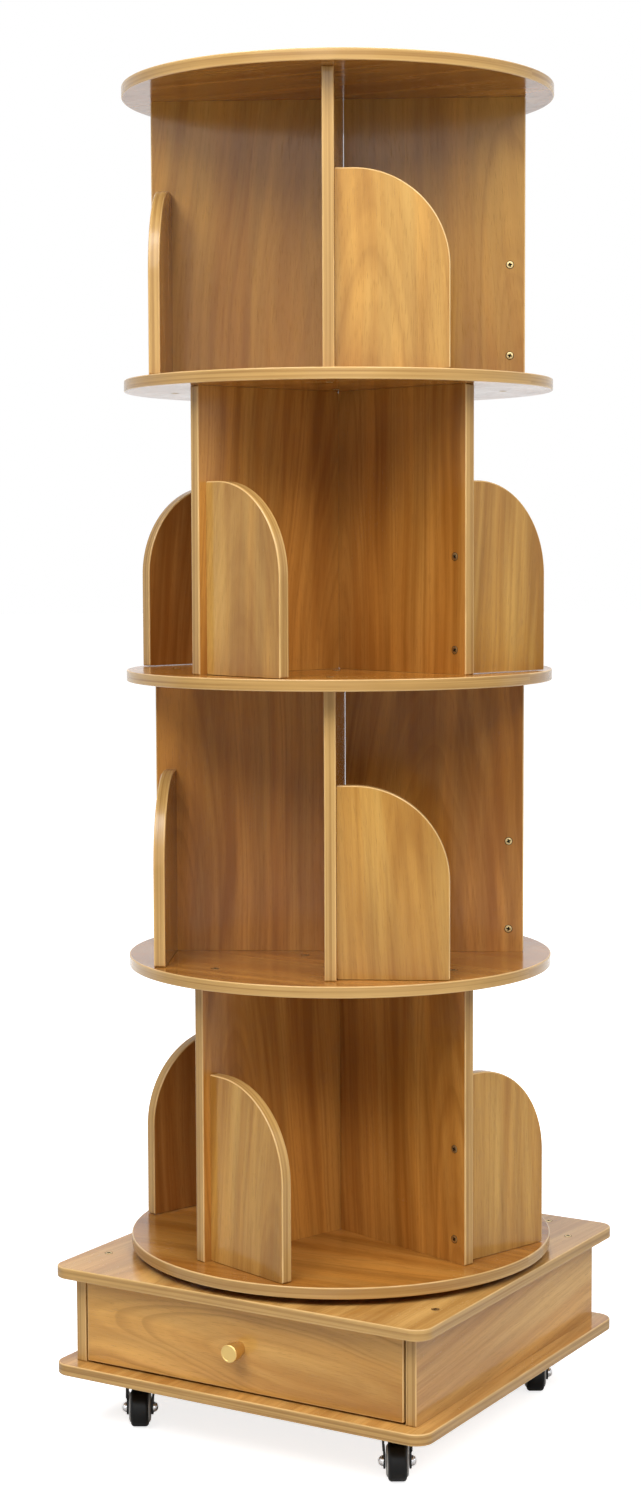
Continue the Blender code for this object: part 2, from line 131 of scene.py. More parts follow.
BAND_LAYERS = (
    Layer((1.6, 330.0, 3.0), 2.0, 0.55, 0.32, 0.68, 0.58),
    Layer((9.0, 1300.0, 3.0), 2.0, 0.60, 0.30, 0.70, 0.22),
    Layer((7.0, 40.0, 3.0), 2.0, 0.60, 0.30, 0.70, 0.20),
)
BAND_PATCHES = Layer((12.0, 30.0, 3.0), 3.0, 0.60, 0.30, 0.62)
SMEARS = Layer((9.0, 9.0, 9.0), 4.0, 0.60, 0.30, 0.70)
SPECKS = Layer((240.0, 240.0, 240.0), 2.0, 0.60, 0.30, 0.70)
TARNISH = Layer((0.13, 0.13, 0.13), 3.0, 0.60, 0.42, 0.72)
RUB_PATCHES = Layer((0.4, 0.4, 0.4), 3.0, 0.60, 0.35, 0.60)
BOARD_CLOUDS = Layer((14.0, 14.0, 14.0), 3.0, 0.60, 0.30, 0.70, 0.4)
BOARD_FIBRES = Layer((420.0, 420.0, 420.0), 4.0, 0.70, 0.30, 0.70, 0.6)

# Softboxes: degrees aside and above the camera's heading, distance, height aimed at, width.
Softbox = namedtuple("Softbox", "aside above reach height size")
SOFTBOXES = {
    "near": Softbox(-22.0, 34.0, 1.75, 1.25, 1.3),
    "front": Softbox(0.0, 40.0, 5.5, 0.75, 3.4),
    "fill": Softbox(0.0, 16.0, 5.5, 0.75, 3.4),
    "right": Softbox(40.0, 44.0, 5.5, 0.75, 3.4),
    "left": Softbox(-40.0, 48.0, 5.5, 0.75, 3.4),
    "back": Softbox(180.0, 52.0, 5.5, 0.75, 2.0),
}

# Laminate: mirror level, roughness of faces and edges, change by smears, depths of the relief.
LAMINATE_GLOSS = 0.38
FACE_ROUGHNESS = 0.15
BAND_ROUGHNESS = 0.20
SMEAR_CHANGE = 0.03
FACE_RELIEF = 0.00004
BAND_RELIEF = 0.00003

# Printed sheet: shares of it between two boards, metres that boards are cut from, depth between two boards.
SHEET_STEPS = (0.6180, 0.7549)
SHEET_REACH = (0.26, 0.70)
SHEET_DEPTH = 1.37
GRAIN_SLANT = 0.07
SLANT_PACE = 2.4

# Share of the ease that a sawn end keeps, share of a corner that counts as its end, steps round a corner,
# and angles of sharp edges.
SAWN_EASE = 0.1
SAWN_RIM = 0.125
CORNER_STEPS = 4
CREASE = math.radians(38.0)
DRIVER_CREASE = math.radians(30.0)
BEVEL_ANGLE = math.radians(35.0)


def number(name, description, default, **limits):
    """A plain number that a user can change."""
    return bpy.props.FloatProperty(name=name, description=description, default=default, **limits)


def length(name, description, default):
    """A size that a user can change, in metres."""
    return number(name, description, default, precision=4, subtype="DISTANCE", unit="LENGTH")


def angle(name, description, degrees):
    """A turn that a user can change."""
    return number(name, description, math.radians(degrees), subtype="ANGLE", unit="ROTATION")


def watts(name, description, default):
    """Power of a light that a user can change."""
    return number(name, description, default, min=0.0, subtype="POWER", unit="POWER")


def colour(name, description, default, highest=1.0):
    """A colour that a user can change."""
    return bpy.props.FloatVectorProperty(name=name, description=description, default=default,
                                         size=3, min=0.0, max=highest, subtype="COLOR")


def tint(name, description, default):
    """Factors on the colours of the printed wood, that a user can change."""
    return colour(name, description, default, 2.0)


class BookcaseWood(bpy.types.PropertyGroup):
    """Colours and edges of the laminate boards"""

    light: colour("Light wood", "Palest tone of the printed wood", (0.50, 0.272, 0.074))
    dark: colour("Dark wood", "Darkest tone of the printed wood", (0.285, 0.128, 0.026))
    band_light: colour("Light edge band", "Palest tone of the edge bands", (0.53, 0.325, 0.110))
    band_dark: colour("Dark edge band", "Line tone of the edge bands", (0.285, 0.148, 0.040))
    amber: colour("Amber", "Shade of the redder streaks of the print", (1.0, 0.88, 0.70))
    hardboard: colour("Hardboard", "Bottom panel of the drawer", (0.50, 0.33, 0.17))
    shelf_tint: tint("Shelf tint", "Tint of the round boards", (0.89, 0.76, 0.58))
    divider_tint: tint("Divider tint", "Tint of the dividers", (1.00, 0.85, 0.64))
    # Paler, yellower copy of the divider tint for the top tier: painted light and painted hazy reflection.
    top_tint: tint("Top tier tint", "Tint of the top tier's paler dividers", (1.04, 1.02, 0.77))
    bookend_tint: tint("Bookend tint", "Tint of the bookends", (1.03, 1.08, 0.99))
    # A redder copy of the bookend tint: painted shade on the bookends that stand in shade.
    red_tint: tint("Red bookend tint", "Tint of the bookends from a redder sheet", (1.02, 0.87, 0.84))
    # The base and drawer tints are partly the boards' own tone and partly painted light and sheen on the
    # base.
    base_tint: tint("Base tint", "Tint of the base's boards", (1.30, 1.40, 1.60))
    drawer_tint: tint("Drawer tint", "Tint of the drawer's front", (1.32, 1.42, 1.50))
    box_tint: tint("Drawer box tint", "Tint of the drawer's box", (1.00, 1.00, 1.00))
    ease: length("Eased edge", "Radius along the edges of every board", 0.0013)
    corner: length("Board corner", "Corner radius of the rectangular boards", 0.0016)
    seat: length("Seat", "How far a board's sawn ends reach into its joints", 0.00025)
    ring_width: length("Ring width", "Distance between two growth rings of the print", 0.0042)
    swirl: length("Swirl", "How far the rings wander", 0.030)


class BookcaseColumn(bpy.types.PropertyGroup):
    """How the tiers of the column are turned and screwed"""

    turn: angle("Column turn", "Turn of the top tier against the base", 27.5)
    stagger: angle("Tier stagger", "Turn of each tier against the one above it", 45.0)
    shoulder: length("Bookend shoulder", "Radius of the bookends' quarter-round", 0.097)
    low_screw: length("Lower screw", "Height of the bookends' lower screws above the floor", 0.025)
    high_screw: length("Upper screw", "Height of the bookends' upper screws above the floor", 0.120)
    inner_screw: length("Inner screw", "Radius of the inner screws through the round boards", 0.050)
    outer_screw: length("Outer screw", "Radius of the outer screws through the round boards", 0.175)
    closer: length("Closer corner", "How much nearer the turned tiers' dividers stand together", 0.0009)


class BookcaseHardware(bpy.types.PropertyGroup):
    """Screws, knob and bearing"""

    zinc: colour("Yellow zinc", "Plating of the screws", (0.66, 0.50, 0.24))
    brass: colour("Brass", "Finish of the knob", (0.80, 0.56, 0.22))
    steel: colour("Bearing steel", "Plates of the turntable", (0.20, 0.20, 0.21))
    chrome: colour("Chrome", "Nuts of the casters", (0.80, 0.80, 0.81))
    screw_radius: length("Screw head", "Radius of a countersunk head", 0.0036)
    # The dark rim round a head is a painted shadow of the countersink, not a real dark part.
    sink_radius: length("Countersink", "Radius of the dark rim round a head", 0.0043)
    screw_proud: length("Screw dome", "Height of a head above the board", 0.00035)
    cross_reach: length("Cross reach", "Half length of the driver cross", 0.0022)
    cross_width: length("Cross width", "Width of the driver cross", 0.0017)
    cross_depth: length("Cross depth", "Depth of the driver cross", 0.0013)
    base_screw_reach: length("Base screw reach", "From the middle to the outer screws of a panel", 0.155)
    plate_screw_reach: length("Plate screw reach", "From a caster plate's middle to its screws", 0.016)


class BookcaseCasters(bpy.types.PropertyGroup):
    """Swivel casters"""

    black_steel: colour("Black steel", "Paint of forks and plates", (0.006, 0.006, 0.007))
    tread: colour("Tread", "Wheel tread", (0.005, 0.005, 0.005))
    hub: colour("Hub disc", "Discs on the wheel's sides", (0.42, 0.42, 0.41))
    turn: angle("Fork turn", "Turn of the forks at rest", 31.0)
    sheet: length("Fork sheet", "Thickness of the folded steel", 0.0020)
    play: length("Wheel play", "Between the wheel and each leg", 0.0005)
    flare: length("Leg joggle", "Step of each leg, outwards towards the crown", 0.0010)
    flare_rise: length("Joggle height", "Height of the joggle above the axle", 0.0100)
    eye: length("Leg eye", "Radius of the legs' round ends", 0.0080)
    back: length("Crown back", "Crown behind the swivel axis", 0.0140)
    front: length("Crown front", "Crown in front of the swivel axis", 0.0170)
    bend: length("Fold radius", "Outer radius of the crown's folds", 0.0042)
    nut: length("Nut radius", "Radius over the nuts", 0.0054)
    cup: length("Race cup", "Outer radius of the swivel's race cup", 0.0156)
    cup_wall: length("Cup wall", "Thickness of the race cup", 0.0018)
    headroom: length("Headroom", "Between the wheel and the crown", 0.0110)
    king_nut: length("King nut", "Radius over the corners of the nut under the crown", 0.0078)
    king_drop: length("King nut height", "Height of the nut under the crown", 0.0062)
    king_bolt: length("King bolt end", "Bolt end below its nut", 0.0019)
    hub_radius: length("Hub radius", "Radius of the hub discs", 0.0162)
    tread_width: length("Tread width", "Width of the tread", 0.0190)
    tread_round: length("Tread shoulder", "Radius of the tread's shoulders", 0.0036)


class BookcaseStage(bpy.types.PropertyGroup):
    """Camera, lights and floor"""

    camera: bpy.props.FloatVectorProperty(name="Camera place", description="Where the camera stands", size=3,
                                          default=(1.3763, -2.3449, 0.9457), subtype="XYZ", unit="LENGTH")
    heading: angle("Heading", "Camera's turn from the drawer's axis", 30.839)
    pitch: angle("Pitch", "Camera's tilt below the horizon", 4.5946)
    roll: angle("Roll", "Camera's roll", -0.2043)
    lens: number("Lens", "Focal length in millimetres", 61.33)
    floor_tone: colour("Floor", "Pale studio floor", (0.72, 0.72, 0.72))
    floor_glow: number("Floor glow", "White added to the floor near the object", 0.80, min=0.0, max=1.0)
    floor_near: length("Near floor", "Distance from which the floor grows whiter", 0.45)
    floor_far: length("Far floor", "Distance from which the floor is all white", 1.60)
    sky: number("Sky light", "Strength of the light from all around", 0.02, min=0.0)
    near: watts("Near light", "Power of the near softbox", 9.5)
    front: watts("Front light", "Power of the front softbox", 45.0)
    fill: watts("Fill light", "Power of the low softbox", 24.0)
    right: watts("Right light", "Power of the right softbox", 238.0)
    left: watts("Left light", "Power of the left softbox", 216.0)
    back: watts("Back light", "Power of the softbox behind the object", 75.0)


class NodeSheet:
    """Short calls that lay out the nodes of one material or node group."""

    def __init__(self, tree):
        self.tree = tree

    def add(self, kind, **settings):
        """A new node with some of its settings."""
        node = self.tree.nodes.new(kind)
        for name, value in settings.items():
            setattr(node, name, value)
        return node

    def feed(self, socket, value):
        """Link an output to a socket, or set the socket's own value."""
        if isinstance(value, bpy.types.NodeSocket):
            self.tree.links.new(value, socket)
        elif socket.type == "RGBA":
            socket.default_value = (*value, 1.0)
        else:
            socket.default_value = value

    def fill(self, node, **values):
        """Feed a node's inputs by name, with underscores for spaces, and give its outputs."""
        for name, value in values.items():
            self.feed(node.inputs[name.replace("_", " ")], value)
        return node.outputs

    def result(self, kind, *values, output=0, **settings):
        """An output of a new node that takes values on its inputs in order."""
        node = self.add(kind, **settings)
        for socket, value in zip(node.inputs, values):
            self.feed(socket, value)
        return node.outputs[output]

    def math(self, operation, *values):
        """Result of a Math node."""
        return self.result("ShaderNodeMath", *values, operation=operation)

    def vector(self, operation, *values, output="Vector"):
        """Result of a Vector Math node."""
        return self.result("ShaderNodeVectorMath", *values, output=output, operation=operation)

    def split(self, vector):
        """The three parts of a vector."""
        return self.fill(self.add("ShaderNodeSeparateXYZ"), Vector=vector)

    def noise(self, place, cycles, detail=2.0, roughness=0.5):
        """Noise over a vector, with cycles per metre on each axis."""
        place = self.vector("MULTIPLY", place, cycles)
        node = self.add("ShaderNodeTexNoise")
        return self.fill(node, Vector=place, Scale=1.0, Detail=detail, Roughness=roughness)[0]

    def noise_along(self, value, detail=2.0, roughness=0.5):
        """Noise over one number."""
        node = self.add("ShaderNodeTexNoise", noise_dimensions="1D")
        return self.fill(node, W=value, Scale=1.0, Detail=detail, Roughness=roughness)[0]

    def spread(self, value, low, high, to_low=0.0, to_high=1.0):
        """Stretch the values between low and high over another range, smoothly and held at its ends."""
        return self.result("ShaderNodeMapRange", value, low, high, to_low, to_high,
                           interpolation_type="SMOOTHSTEP")

    def layer(self, place, layer, to_low=0.0, to_high=1.0):
        """A noise layer over a vector."""
        noise = self.noise(place, layer.cycles, layer.detail, layer.roughness)
        return self.spread(noise, layer.low, layer.high, to_low, to_high)

    def layers(self, place, layers, tone=None):
        """Sum of noise layers by their shares, on top of a tone."""
        for layer in layers:
            terms = (self.layer(place, layer), layer.share)
            tone = self.math("MULTIPLY", *terms) if tone is None else self.math("MULTIPLY_ADD", *terms, tone)
        return tone

    def mix(self, factor, first, second, blend="MIX"):
        """Mix of two colours."""
        node = self.add("ShaderNodeMix", data_type="RGBA", blend_type=blend)
        for socket, value in {0: factor, 6: first, 7: second}.items():
            self.feed(node.inputs[socket], value)
        return node.outputs[2]

    def attribute(self, name):
        """Vector stored on the mesh."""
        return self.add("ShaderNodeAttribute", attribute_name=name).outputs["Vector"]

    def place(self):
        """Place on the piece itself."""
        return self.add("ShaderNodeTexCoord").outputs["Object"]

    def group(self, build, **values):
        """Outputs of a node group with values on its inputs."""
        tree = shared(bpy.data.node_groups, build, build.__name__.replace("_", " "))
        return self.fill(self.add("ShaderNodeGroup", node_tree=tree), **values)

    def relief(self, shader, height, depth):
        """Bump under a shader."""
        bump = self.fill(self.add("ShaderNodeBump"), Strength=1.0, Distance=depth, Height=height)
        self.fill(shader, Normal=bump["Normal"])


def shared(store, build, name, *settings):
    """Data that is built when it is first asked for."""
    return store.get(name) or build(name, *settings)


def new_group(name, vector, values, outputs):
    """A shader node group that takes a vector and values: its sheet, inputs' values and output node."""
    tree = bpy.data.node_groups.new(name, "ShaderNodeTree")
    tree.interface.new_socket(vector, in_out="INPUT", socket_type="NodeSocketVector")
    for label in values:
        tree.interface.new_socket(label, in_out="INPUT", socket_type="NodeSocketFloat")
    for label in outputs:
        tree.interface.new_socket(label, in_out="OUTPUT", socket_type="NodeSocketFloat")
    sheet = NodeSheet(tree)
    return sheet, sheet.add("NodeGroupInput").outputs, sheet.add("NodeGroupOutput")


def printed_grain(name):
    """Rings, streaks, fibres and pores of the printed wood. Grain is (across, along, through) in metres."""
    outputs = ("Tone", "Hue", "Lines", "Pores")
    sheet, given, result = new_group(name, "Grain", ("Ring Width", "Swirl"), outputs)
    drift_cycles, ripple_cycles, ripple_share = (5.0, 1.3, 5.0), (26.0, 5.0, 26.0), 0.16
    heart_slope, heart_depth, aside_share = 0.11, 0.045, 1.6
    band_pace, band_detail, band_low, band_high, band_share = 0.30, 3.0, 0.28, 0.72, 0.26
    line_pace, line_start, line_detail, line_low, line_high = 0.41, 31.0, 1.0, 0.38, 0.68
    late_start, late_full, late_end = 0.30, 0.86, 0.90

    grain = given["Grain"]
    across, along, through = sheet.split(grain)
    drift, ripple = [sheet.math("SUBTRACT", sheet.noise(grain, cycles), 0.5)
                     for cycles in (drift_cycles, ripple_cycles)]
    wander = sheet.math("MULTIPLY", sheet.math("MULTIPLY_ADD", ripple, ripple_share, drift), given["Swirl"])
    heart = sheet.math("ADD", sheet.math("MULTIPLY_ADD", along, heart_slope, heart_depth), wander)
    aside = sheet.math("MULTIPLY_ADD", wander, aside_share, across)
    squares = sheet.math("ADD", sheet.math("MULTIPLY", heart, heart), sheet.math("MULTIPLY", aside, aside))
    turns = sheet.math("DIVIDE", sheet.math("SQRT", squares), given["Ring Width"])

    bands = sheet.noise_along(sheet.math("MULTIPLY", turns, band_pace), band_detail)
    tone = sheet.math("MULTIPLY", sheet.spread(bands, band_low, band_high), band_share)
    weight = sheet.noise_along(sheet.math("MULTIPLY_ADD", turns, line_pace, line_start), line_detail)
    phase = sheet.math("FRACT", turns)
    rising, falling = sheet.spread(phase, late_start, late_full), sheet.spread(phase, 1.0, late_end)
    late = sheet.math("MULTIPLY", rising, falling)
    lines = sheet.math("MULTIPLY", late, sheet.spread(weight, line_low, line_high))

    bent = sheet.result("ShaderNodeCombineXYZ", aside, along, through)
    tone = sheet.layers(grain, (PRINT_CLOUDS,), sheet.layers(bent, PRINT_LAYERS, tone))
    sheet.fill(result, Tone=tone, Hue=sheet.layer(bent, PRINT_HUES), Lines=lines,
               Pores=sheet.layer(grain, PRINT_PORES))
    return sheet.tree


def band_lines(name):
    """Lines that run along an edge band, and the pale rub on its eased edges, which is wear and also a
    painted highlight. Band is (along, across, shift).
    """
    sheet, given, result = new_group(name, "Band", ("Half Width", "Ease"), ("Tone", "Rub"))
    rub_and_highlight_width, faintest = 1.5, 0.45
    band = given["Band"]
    reach = sheet.math("ABSOLUTE", sheet.split(band)["Y"])
    start = sheet.math("SUBTRACT", given["Half Width"], sheet.math("MULTIPLY", given["Ease"], rub_and_highlight_width))
    edge = sheet.spread(reach, start, given["Half Width"])
    # Pale mask on the eased edges, in patches: partly wear, partly a painted highlight.
    rub = sheet.math("MULTIPLY", edge, sheet.layer(band, BAND_PATCHES, faintest))
    sheet.fill(result, Tone=sheet.layers(band, BAND_LAYERS), Rub=rub)
    return sheet.tree


def handling(name):
    """Faint smears and dust that change the gloss of a touched surface."""
    sheet, given, result = new_group(name, "Place", ("Even", "Change"), ("Roughness",))
    speck_change = 0.4
    smears = sheet.layer(given["Place"], SMEARS, -1.0, 1.0)
    specks = sheet.layer(given["Place"], SPECKS, -speck_change, speck_change)
    both = sheet.math("ADD", smears, specks)
    sheet.fill(result, Roughness=sheet.math("MULTIPLY_ADD", both, given["Change"], given["Even"]))
    return sheet.tree


def worn_metal(name):
    """Turning marks, tarnish and rubbed edges of a metal or painted piece."""
    sheet, given, result = new_group(name, "Place", ("Mark Scale",), ("Marks", "Tarnish", "Rub"))
    edge_low, edge_high, mark_detail, mark_roughness = 0.53, 0.62, 4.0, 0.7
    scaled = sheet.add("ShaderNodeVectorMath", operation="SCALE")
    place = sheet.fill(scaled, Vector=given["Place"], Scale=given["Mark Scale"])["Vector"]
    sharp = sheet.add("ShaderNodeNewGeometry").outputs["Pointiness"]
    rub = sheet.math("MULTIPLY", sheet.spread(sharp, edge_low, edge_high), sheet.layer(place, RUB_PATCHES))
    marks = sheet.noise(place, (1.0, 1.0, 1.0), mark_detail, mark_roughness)
    sheet.fill(result, Marks=marks, Tarnish=sheet.layer(place, TARNISH), Rub=rub)
    return sheet.tree


def new_material(name):
    """A node material: its sheet and its shader."""
    made = bpy.data.materials.new(name)
    made.use_nodes = True
    return made, NodeSheet(made.node_tree), made.node_tree.nodes["Principled BSDF"]


def shaded(tone, share):
    """A colour made darker or lighter."""
    return [min(1.0, part * share) for part in tone]


def laminate(name, wood, kind):
    """Printed wood face of a board."""
    made, sheet, shader = new_material(name)
    hue_share, pore_share, pore_shade, pore_roughness, line_height = 0.75, 0.30, 0.6, 0.10, -0.25
    grain = sheet.group(printed_grain, Grain=sheet.attribute("grain"), Ring_Width=wood.ring_width,
                        Swirl=wood.swirl * kind.swirl)
    light, dark = [[min(1.0, part * share) for part, share in zip(tone, getattr(wood, kind.tint))]
                   for tone in (wood.light, wood.dark)]
    tone = sheet.math("MULTIPLY_ADD", grain["Tone"], kind.contrast, 0.5 - kind.contrast / 2)
    hue = sheet.math("MULTIPLY", grain["Hue"], hue_share)
    face = sheet.mix(hue, sheet.mix(tone, light, dark), wood.amber, "MULTIPLY")
    face = sheet.mix(sheet.math("MULTIPLY", grain["Lines"], kind.lines), face, dark)
    face = sheet.mix(sheet.math("MULTIPLY", grain["Pores"], pore_share), face, shaded(dark, pore_shade))
    gloss = sheet.group(handling, Place=sheet.place(), Even=FACE_ROUGHNESS, Change=SMEAR_CHANGE)["Roughness"]
    sheet.fill(shader, Base_Color=face, Specular_IOR_Level=LAMINATE_GLOSS,
               Roughness=sheet.math("MULTIPLY_ADD", grain["Pores"], pore_roughness, gloss))
    height = sheet.math("MULTIPLY", grain["Lines"], line_height)
    sheet.relief(shader, sheet.math("MULTIPLY_ADD", grain["Pores"], -1.0, height), FACE_RELIEF)
    return made


def edge_band(name, wood, half_width):
    """Lined edge band of a board, painted pale along its eased edges as wear and as a highlight."""
    made, sheet, shader = new_material(name)
    rub_and_highlight_share, rub_and_highlight_gain, rub_and_highlight_lift = 0.8, 1.25, 0.05
    band = sheet.group(band_lines, Band=sheet.attribute("band"), Half_Width=half_width, Ease=wood.ease)
    lined = sheet.mix(band["Tone"], wood.band_light, wood.band_dark)
    # Paler band tone for the eased edges: wear and a painted highlight.
    pale_rub_and_highlight = [min(1.0, part * rub_and_highlight_gain + rub_and_highlight_lift) for part in wood.band_light]
    gloss = sheet.group(handling, Place=sheet.place(), Even=BAND_ROUGHNESS, Change=SMEAR_CHANGE)["Roughness"]
    sheet.fill(shader, Base_Color=sheet.mix(sheet.math("MULTIPLY", band["Rub"], rub_and_highlight_share), lined, pale_rub_and_highlight),
               Roughness=gloss, Specular_IOR_Level=LAMINATE_GLOSS)
    sheet.relief(shader, band["Tone"], BAND_RELIEF)
    return made


def wood_finishes(kind, wood, half_width):
    """Face and edge finish of one kind of board."""
    return [shared(bpy.data.materials, laminate, kind + "_face", wood, WOODS[kind]),
            shared(bpy.data.materials, edge_band, kind + "_edge", wood, half_width)]


def hardboard(wood):
    """Pressed fibre board of the drawer's bottom."""
    made, sheet, shader = new_material("drawer_hardboard")
    dark_shade, even, change, depth = 0.68, 0.50, 0.05, 0.00006
    place = sheet.place()
    tone = sheet.layers(place, (BOARD_CLOUDS, BOARD_FIBRES))
    gloss = sheet.group(handling, Place=place, Even=even, Change=change)["Roughness"]
    sheet.fill(shader, Base_Color=sheet.mix(tone, wood.hardboard, shaded(wood.hardboard, dark_shade)),
               Roughness=gloss)
    sheet.relief(shader, sheet.layer(place, BOARD_FIBRES), depth)
    return made


def new_metal(name, tone):
    """Plated, bare or painted metal with marks, tarnish and rubbed edges."""
    kind = METALS[name]
    made, sheet, shader = new_material(name)
    mark_roughness, tarnish_roughness, depth = 0.16, 0.08, 0.00002
    worn = sheet.group(worn_metal, Place=sheet.place(), Mark_Scale=kind.marks)
    aged = sheet.mix(worn["Tarnish"], tone, shaded(tone, kind.tarnish))
    level = sheet.math("MULTIPLY_ADD", worn["Marks"], mark_roughness, kind.roughness - mark_roughness / 2)
    sheet.fill(shader, Base_Color=sheet.mix(worn["Rub"], aged, shaded(tone, kind.rub)),
               Metallic=kind.metallic, Specular_IOR_Level=kind.gloss,
               Roughness=sheet.math("MULTIPLY_ADD", worn["Tarnish"], tarnish_roughness, level))
    sheet.relief(shader, worn["Marks"], depth)
    return made


def metal(name, tone):
    """One of the metals, by its name."""
    return shared(bpy.data.materials, new_metal, name, tone)


def arc(centre, radius, start, end, steps):
    """Points of a round stretch, both ends included."""
    turns = [start + (end - start) * step / steps for step in range(steps + 1)]
    return [(centre[0] + radius * math.cos(turn), centre[1] + radius * math.sin(turn)) for turn in turns]


def quarter(steps, first=0):
    """Even turns up to a right angle."""
    return [math.pi / 2 * step / steps for step in range(first, steps + 1)]


def circle(radius, steps):
    """Closed outline of a circle."""
    return arc((0.0, 0.0), radius, 0.0, math.tau * (steps - 1) / steps, steps - 1)


def rounded(points, radius, steps):
    """A closed outline with every corner rounded; points run anticlockwise round a convex shape."""
    outline = []
    for index, point in enumerate(points):
        here = Vector(point)
        before = (Vector(points[index - 1]) - here).normalized()
        after = (Vector(points[(index + 1) % len(points)]) - here).normalized()
        half = before.angle(after) / 2
        centre = here + (before + after).normalized() * radius / math.sin(half)
        start = (here + before * radius / math.tan(half)) - centre
        first = math.atan2(start.y, start.x)
        outline += arc(centre, radius, first, first + math.pi - 2 * half, steps)
    return outline


def rounded_rectangle(width, height, radius, steps=CORNER_STEPS):
    """Outline of a rectangle with rounded corners, centred on the origin."""
    x, y = width / 2, height / 2
    return rounded([(-x, -y), (x, -y), (x, y), (-x, y)], radius, steps)


def inset(outline, amount):
    """An outline drawn in by an amount."""
    result = []
    for index, point in enumerate(outline):
        here = Vector(point)
        into = (here - Vector(outline[index - 1])).normalized()
        out = (Vector(outline[(index + 1) % len(outline)]) - here).normalized()
        first = Vector((-into.y, into.x))
        second = Vector((-out.y, out.x))
        result.append(here + (first + second) * amount / (1.0 + first.dot(second)))
    return result


def cut_from_sheet(index):
    """Where a board was cut from the printed sheet: shifts across, along and through the grain."""
    shifts = [((index * step) % 1.0 - 0.5) * reach for step, reach in zip(SHEET_STEPS, SHEET_REACH)]
    return Vector((*shifts, index * SHEET_DEPTH))


def surface(name, points, faces, indices):
    """A smooth mesh with a material index for each face."""
    mesh = bpy.data.meshes.new(name)
    mesh.from_pydata(points, [], faces)
    mesh.polygons.foreach_set("material_index", indices)
    mesh.shade_smooth()
    return mesh


def take_mesh(name, bm):
    """The mesh of an edited one, which is let go."""
    mesh = bpy.data.meshes.new(name)
    bm.to_mesh(mesh)
    bm.free()
    return mesh


def board_mesh(name, outline, thickness, ease, cut, grain_along_x=False, steps=4, is_raw=None):
    """A board with eased edges: outline in x and y, thickness centred on z = 0. Its edges are material 1.

    Outline points for which is_raw holds keep nearly sharp edges, as on a sawn end that meets another board.
    """
    rise = [(ease * (1.0 - math.sin(turn)), ease * (1.0 - math.cos(turn)) - thickness / 2)
            for turn in quarter(steps)]
    rings = rise + [(inward, -z) for inward, z in reversed(rise)]
    raw = [is_raw is not None and is_raw(*point) for point in outline]
    count = len(outline)
    points = []
    for inward, z in rings:
        eased, sharp = inset(outline, inward), inset(outline, inward * SAWN_EASE)
        points += [(*(sharp[i] if raw[i] else eased[i]), z) for i in range(count)]
    faces = [list(range(count))[::-1], [count * (len(rings) - 1) + i for i in range(count)]]
    for low in range(0, count * (len(rings) - 1), count):
        for i in range(count):
            after = (i + 1) % count
            faces.append([low + i, low + after, low + count + after, low + count + i])
    mesh = surface(name, points, faces, [0, 0] + [1] * (len(faces) - 2))

    grain = mesh.attributes.new("grain", "FLOAT_VECTOR", "POINT")
    slant = GRAIN_SLANT * math.sin(cut.z * SLANT_PACE)
    for vertex in mesh.vertices:
        across, along = vertex.co.yx if grain_along_x else vertex.co.xy
        grain.data[vertex.index].vector = Vector((across + along * slant, along, vertex.co.z)) + cut
    walk = [0.0]
    for i in range(count):
        walk.append(walk[-1] + (Vector(outline[(i + 1) % count]) - Vector(outline[i])).length)
    band = mesh.attributes.new("band", "FLOAT_VECTOR", "CORNER")
    for polygon in list(mesh.polygons)[2:]:
        for corner in polygon.loop_indices:
            vertex = mesh.loops[corner].vertex_index
            i = vertex % count
            wrapped = i == 0 and polygon.vertices[0] % count == count - 1
            along = walk[count] if wrapped else walk[i]
            band.data[corner].vector = (along + cut.z, mesh.vertices[vertex].co.z, cut.z)
    return mesh


def turned_mesh(name, profile, steps, finishes=None):
    """A profile of (radius, z) points spun round Z; finishes gives a material index to each stretch.

    A profile that ends where it starts makes a ring.
    """
    points, rows = [], []
    for radius, z in profile:
        if rows and (radius, z) == profile[0]:
            rows.append(rows[0])
            continue
        count = steps if radius > ON_AXIS else 1
        rows.append(range(len(points), len(points) + count))
        turns = [math.tau * step / steps for step in range(count)]
        points += [(radius * math.cos(turn), radius * math.sin(turn), z) for turn in turns]
    faces, indices = [], []
    for stretch, (low, high) in enumerate(zip(rows, rows[1:])):
        for i in range(steps):
            after = (i + 1) % steps
            ring = [low[i % len(low)], low[after % len(low)], high[after % len(high)], high[i % len(high)]]
            face = list(dict.fromkeys(ring))
            if len(face) > 2:
                faces.append(face)
                indices.append(finishes[stretch] if finishes else 0)
    mesh = surface(name, points, faces, indices)
    mesh.set_sharp_from_angle(angle=CREASE)
    return mesh


def extruded_mesh(name, outline, depth, place):
    """A closed outline in x and y, extruded from z = 0 and set in its place."""
    bm = bmesh.new()
    face = bm.faces.new([bm.verts.new((x, y, 0.0)) for x, y in outline])
    raised = bmesh.ops.extrude_face_region(bm, geom=[face])["geom"]
    lift = [item for item in raised if isinstance(item, bmesh.types.BMVert)]
    bmesh.ops.translate(bm, verts=lift, vec=(0.0, 0.0, depth))
    bmesh.ops.recalc_face_normals(bm, faces=bm.faces)
    bmesh.ops.transform(bm, matrix=place, verts=bm.verts)
    return take_mesh(name, bm)


def merged_mesh(name, parts):
    """Several meshes, each moved by its own matrix, as one."""
    bm = bmesh.new()
    for mesh, place in parts:
        start = len(bm.verts)
        bm.from_mesh(mesh)
        bm.verts.ensure_lookup_table()
        bmesh.ops.transform(bm, matrix=place, verts=bm.verts[start:])
    return take_mesh(name, bm)


